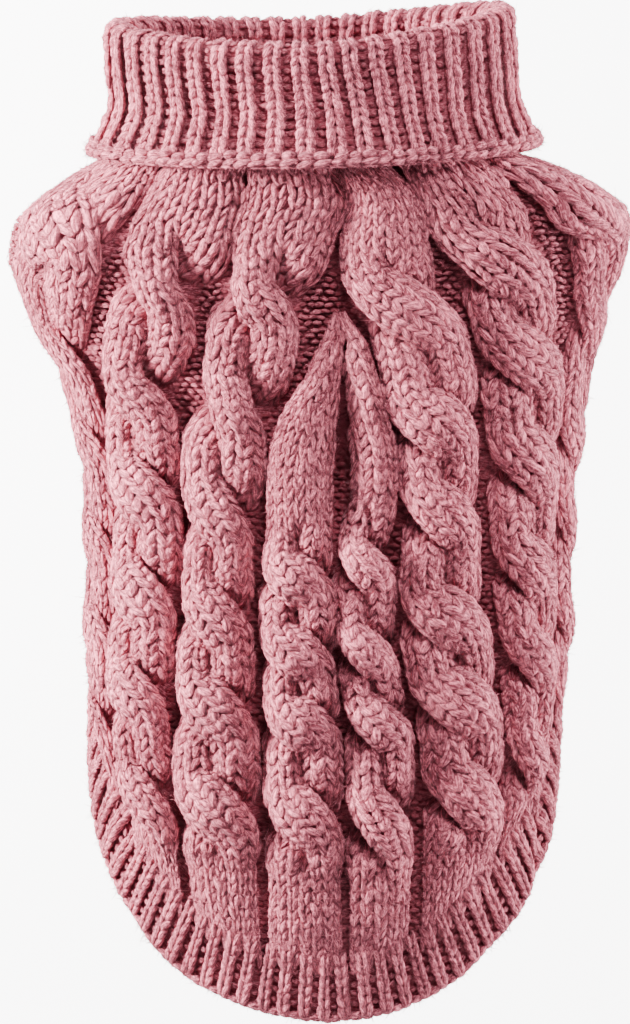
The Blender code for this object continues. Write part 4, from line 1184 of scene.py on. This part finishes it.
# ------------------------------------------------------------------------ looks
def yarn_material(name, light, mid, dark, seed, purl_inside=False):
    mat = bpy.data.materials.new(name)
    mat.use_nodes = True
    nt = mat.node_tree
    nt.nodes.clear()
    new, link = nt.nodes.new, nt.links.new

    def attr(label):
        n = new("ShaderNodeAttribute")
        n.attribute_name = label
        return n

    def math_node(op, a, b=None):
        n = new("ShaderNodeMath")
        n.operation = op
        for i, v in enumerate((a, b)):
            if v is None:
                continue
            if hasattr(v, "is_linked"):
                link(v, n.inputs[i])
            else:
                n.inputs[i].default_value = v
        return n.outputs[0]

    def noise(vector, scale, detail, rough, stretch=None):
        if stretch is not None:
            m = new("ShaderNodeMapping")
            m.inputs["Scale"].default_value = stretch
            link(vector, m.inputs["Vector"])
            vector = m.outputs["Vector"]
        n = new("ShaderNodeTexNoise")
        n.inputs["Scale"].default_value = scale
        n.inputs["Detail"].default_value = detail
        n.inputs["Roughness"].default_value = rough
        link(vector, n.inputs["Vector"])
        return n.outputs["Fac"]

    out = new("ShaderNodeOutputMaterial")
    bsdf = new("ShaderNodeBsdfPrincipled")
    link(bsdf.outputs["BSDF"], out.inputs["Surface"])
    coord = new("ShaderNodeTexCoord")
    yarn = attr("yarn")
    painted_shade = attr("painted_shade").outputs["Fac"]
    tone = attr("tone").outputs["Fac"]

    patch = noise(coord.outputs["Object"], 45.0 + seed, 3.0, 0.55)
    fleck = noise(coord.outputs["Object"], 1050.0, 4.0, 0.65)
    fibre = noise(yarn.outputs["Vector"], 1.0, 4.0, 0.65, (0.55, 2.1, 1.0))
    hair = noise(yarn.outputs["Vector"], 1.0, 3.0, 0.7, (1.4, 9.0, 1.0))

    # melange: pale and deep fibres spun together
    blend = math_node("ADD", math_node("MULTIPLY", tone, 0.20), math_node("MULTIPLY", fleck, 1.5))
    blend = math_node("ADD", blend, math_node("MULTIPLY", fibre, 3.1))
    blend = math_node("ADD", blend, math_node("MULTIPLY", patch, 0.5))
    rows = None
    if purl_inside:
        # the back of the knitting: wavy rows of purl, on faces whose tone is 1
        split = new("ShaderNodeSeparateXYZ")
        link(yarn.outputs["Vector"], split.inputs[0])
        wave = math_node("SINE", math_node("MULTIPLY", split.outputs[0], 2.0 * math.pi / WALE))
        phase = math_node("ADD", math_node("MULTIPLY", split.outputs[1], 4.0 * math.pi / ROW), math_node("MULTIPLY", wave, 1.5))
        rows = math_node("MULTIPLY", tone, math_node("SINE", phase))
        blend = math_node("ADD", blend, math_node("MULTIPLY", rows, 0.30))
    ramp = new("ShaderNodeValToRGB")
    link(math_node("SUBTRACT", blend, 2.20), ramp.inputs["Fac"])
    ramp.color_ramp.elements[0].position = 0.16
    ramp.color_ramp.elements[0].color = (*dark, 1.0)
    ramp.color_ramp.elements[1].position = 0.86
    ramp.color_ramp.elements[1].color = (*light, 1.0)
    e = ramp.color_ramp.elements.new(0.48)
    e.color = (*mid, 1.0)

    # painted shade: where the painted shade value is low, between stitches, the colour is mixed toward a redder dark of
    # the yarn
    deep = new("ShaderNodeMix")
    deep.data_type = "RGBA"
    deep.blend_type = "MIX"
    cr = new("ShaderNodeMapRange")
    cr.inputs["From Min"].default_value = 0.0
    cr.inputs["From Max"].default_value = 0.72
    link(painted_shade, cr.inputs["Value"])
    link(cr.outputs["Result"], deep.inputs["Factor"])
    deep.inputs[6].default_value = (dark[0] * 1.25, dark[1] * 1.0, dark[2] * 1.02, 1.0)
    link(ramp.outputs["Color"], deep.inputs[7])
    link(deep.outputs[2], bsdf.inputs["Base Color"])

    rough = new("ShaderNodeMapRange")
    rough.inputs["To Min"].default_value = 0.78
    rough.inputs["To Max"].default_value = 1.0
    link(fleck, rough.inputs["Value"])
    link(rough.outputs["Result"], bsdf.inputs["Roughness"])
    bsdf.inputs["Specular IOR Level"].default_value = 0.10
    bsdf.inputs["Sheen Weight"].default_value = 0.16
    bsdf.inputs["Sheen Roughness"].default_value = 0.45
    bsdf.inputs["Sheen Tint"].default_value = (1.0, 0.62, 0.68, 1.0)

    height = math_node("ADD", math_node("MULTIPLY", fibre, 0.7), math_node("MULTIPLY", hair, 0.45))
    height = math_node("ADD", height, math_node("MULTIPLY", fleck, 0.35))
    if rows is not None:
        height = math_node("ADD", height, math_node("MULTIPLY", rows, 0.26))
    bump = new("ShaderNodeBump")
    bump.inputs["Strength"].default_value = 1.0
    bump.inputs["Distance"].default_value = 0.0011
    link(height, bump.inputs["Height"])
    link(bump.outputs["Normal"], bsdf.inputs["Normal"])
    return mat


ROSE = ((0.96, 0.225, 0.305), (0.46, 0.112, 0.153), (0.20, 0.030, 0.048))
cable_mat = yarn_material("cable_knit_yarn", *ROSE, 0.0)
rib_mat = yarn_material("rib_knit_yarn", *ROSE, 7.0)
plain_mat = yarn_material("plain_knit_yarn", *ROSE, 13.0)
cable_ground = yarn_material("cable_knit_ground", *ROSE, 3.0, True)
rib_ground = yarn_material("rib_knit_ground", *ROSE, 9.0, True)
plain_ground = yarn_material("plain_knit_ground", *ROSE, 15.0, True)


def finish_piece(obj, mat):
    obj.data.materials.append(mat)
    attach(obj, "root")
    return obj


back = finish_piece(make_back_base(), cable_ground)
belly = finish_piece(make_belly_base(), plain_ground)
collar = finish_piece(make_collar_base(), rib_ground)
hem = finish_piece(make_hem_base(), rib_ground)
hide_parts("back_panel")
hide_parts("belly_panel")
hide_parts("collar")
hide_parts("hem_rib")

cables = [finish_piece(make_cable(k), cable_mat) for k in range(8)]
purl = finish_piece(make_purl(), cable_mat)
belly_knit = finish_piece(make_belly_knit(), plain_mat)
collar_knit, collar_edge = [finish_piece(o, rib_mat) for o in make_collar()]
hem_knit = finish_piece(make_hem(), rib_mat)
leg_edges = finish_piece(make_leg_edges(), plain_mat)
back_fuzz = finish_piece(make_fuzz("back_fuzz", cables + [purl], 41000), cable_mat)
collar_fuzz = finish_piece(make_fuzz("collar_fuzz", [collar_knit, collar_edge], 9000), rib_mat)
hem_fuzz = finish_piece(make_fuzz("hem_fuzz", [hem_knit], 4500), rib_mat)

# ------------------------------------------------------------------ floor, light
def plane(name, size, location, rotation=(0.0, 0.0, 0.0)):
    m = bpy.data.meshes.new(name)
    s = 0.5 * size
    m.from_pydata([(-s, -s, 0), (s, -s, 0), (s, s, 0), (-s, s, 0)], [], [(0, 1, 2, 3)])
    o = bpy.data.objects.new(name, m)
    o.location = location
    o.rotation_euler = rotation
    bpy.context.scene.collection.objects.link(o)
    return o


floor = plane("floor", 6.0, (0.0, -0.06, -0.30))
fm = bpy.data.materials.new("pale_floor")
fm.use_nodes = True
fb = fm.node_tree.nodes["Principled BSDF"]
fb.inputs["Base Color"].default_value = (0.93, 0.93, 0.93, 1.0)
fb.inputs["Roughness"].default_value = 0.8
fb.inputs["Emission Color"].default_value = (1.0, 1.0, 1.0, 1.0)
fb.inputs["Emission Strength"].default_value = 4.2
floor.data.materials.append(fm)


def area_light(name, size, energy, location, target, colour=(1.0, 1.0, 1.0)):
    data = bpy.data.lights.new(name, "AREA")
    data.shape = "SQUARE"
    data.size = size
    data.energy = energy
    data.color = colour
    o = bpy.data.objects.new(name, data)
    o.location = location
    d = Vector(target) - Vector(location)
    o.rotation_euler = d.to_track_quat("-Z", "Y").to_euler()
    bpy.context.scene.collection.objects.link(o)
    return o


MIDDLE = (0.0, -0.06, -0.03)
area_light("key", 0.30, 78.0, (-0.86, 0.20, 0.205), MIDDLE, (1.0, 0.985, 0.97))
area_light("top", 0.7, 9.0, (0.10, 1.35, 0.80), MIDDLE)
area_light("collar", 0.35, 8.5, (0.10, 0.56, 0.45), (0.0, 0.07, 0.0))
area_light("hem", 0.7, 13.0, (0.10, -1.40, 0.50), MIDDLE)
area_light("right_rim", 0.5, 48.0, (1.25, -0.05, 0.0), MIDDLE)

world = bpy.data.worlds.new("studio")
world.use_nodes = True
bg = world.node_tree.nodes["Background"]
bg.inputs["Color"].default_value = (1.0, 1.0, 1.0, 1.0)
bg.inputs["Strength"].default_value = 0.27
bpy.context.scene.world = world

cam_data = bpy.data.cameras.new("camera")
cam_data.sensor_width = 36.0
DIST = 4.0
cam_data.lens = 36.0 * (DIST + 0.03) / (1024 * 0.000293)
cam = bpy.data.objects.new("camera", cam_data)
cam.location = ((315 - 330) * 0.000293, (300 - 512) * 0.000293, DIST)
cam.rotation_euler = (0.0, 0.0, 0.0)
bpy.context.scene.collection.objects.link(cam)
bpy.context.scene.camera = cam
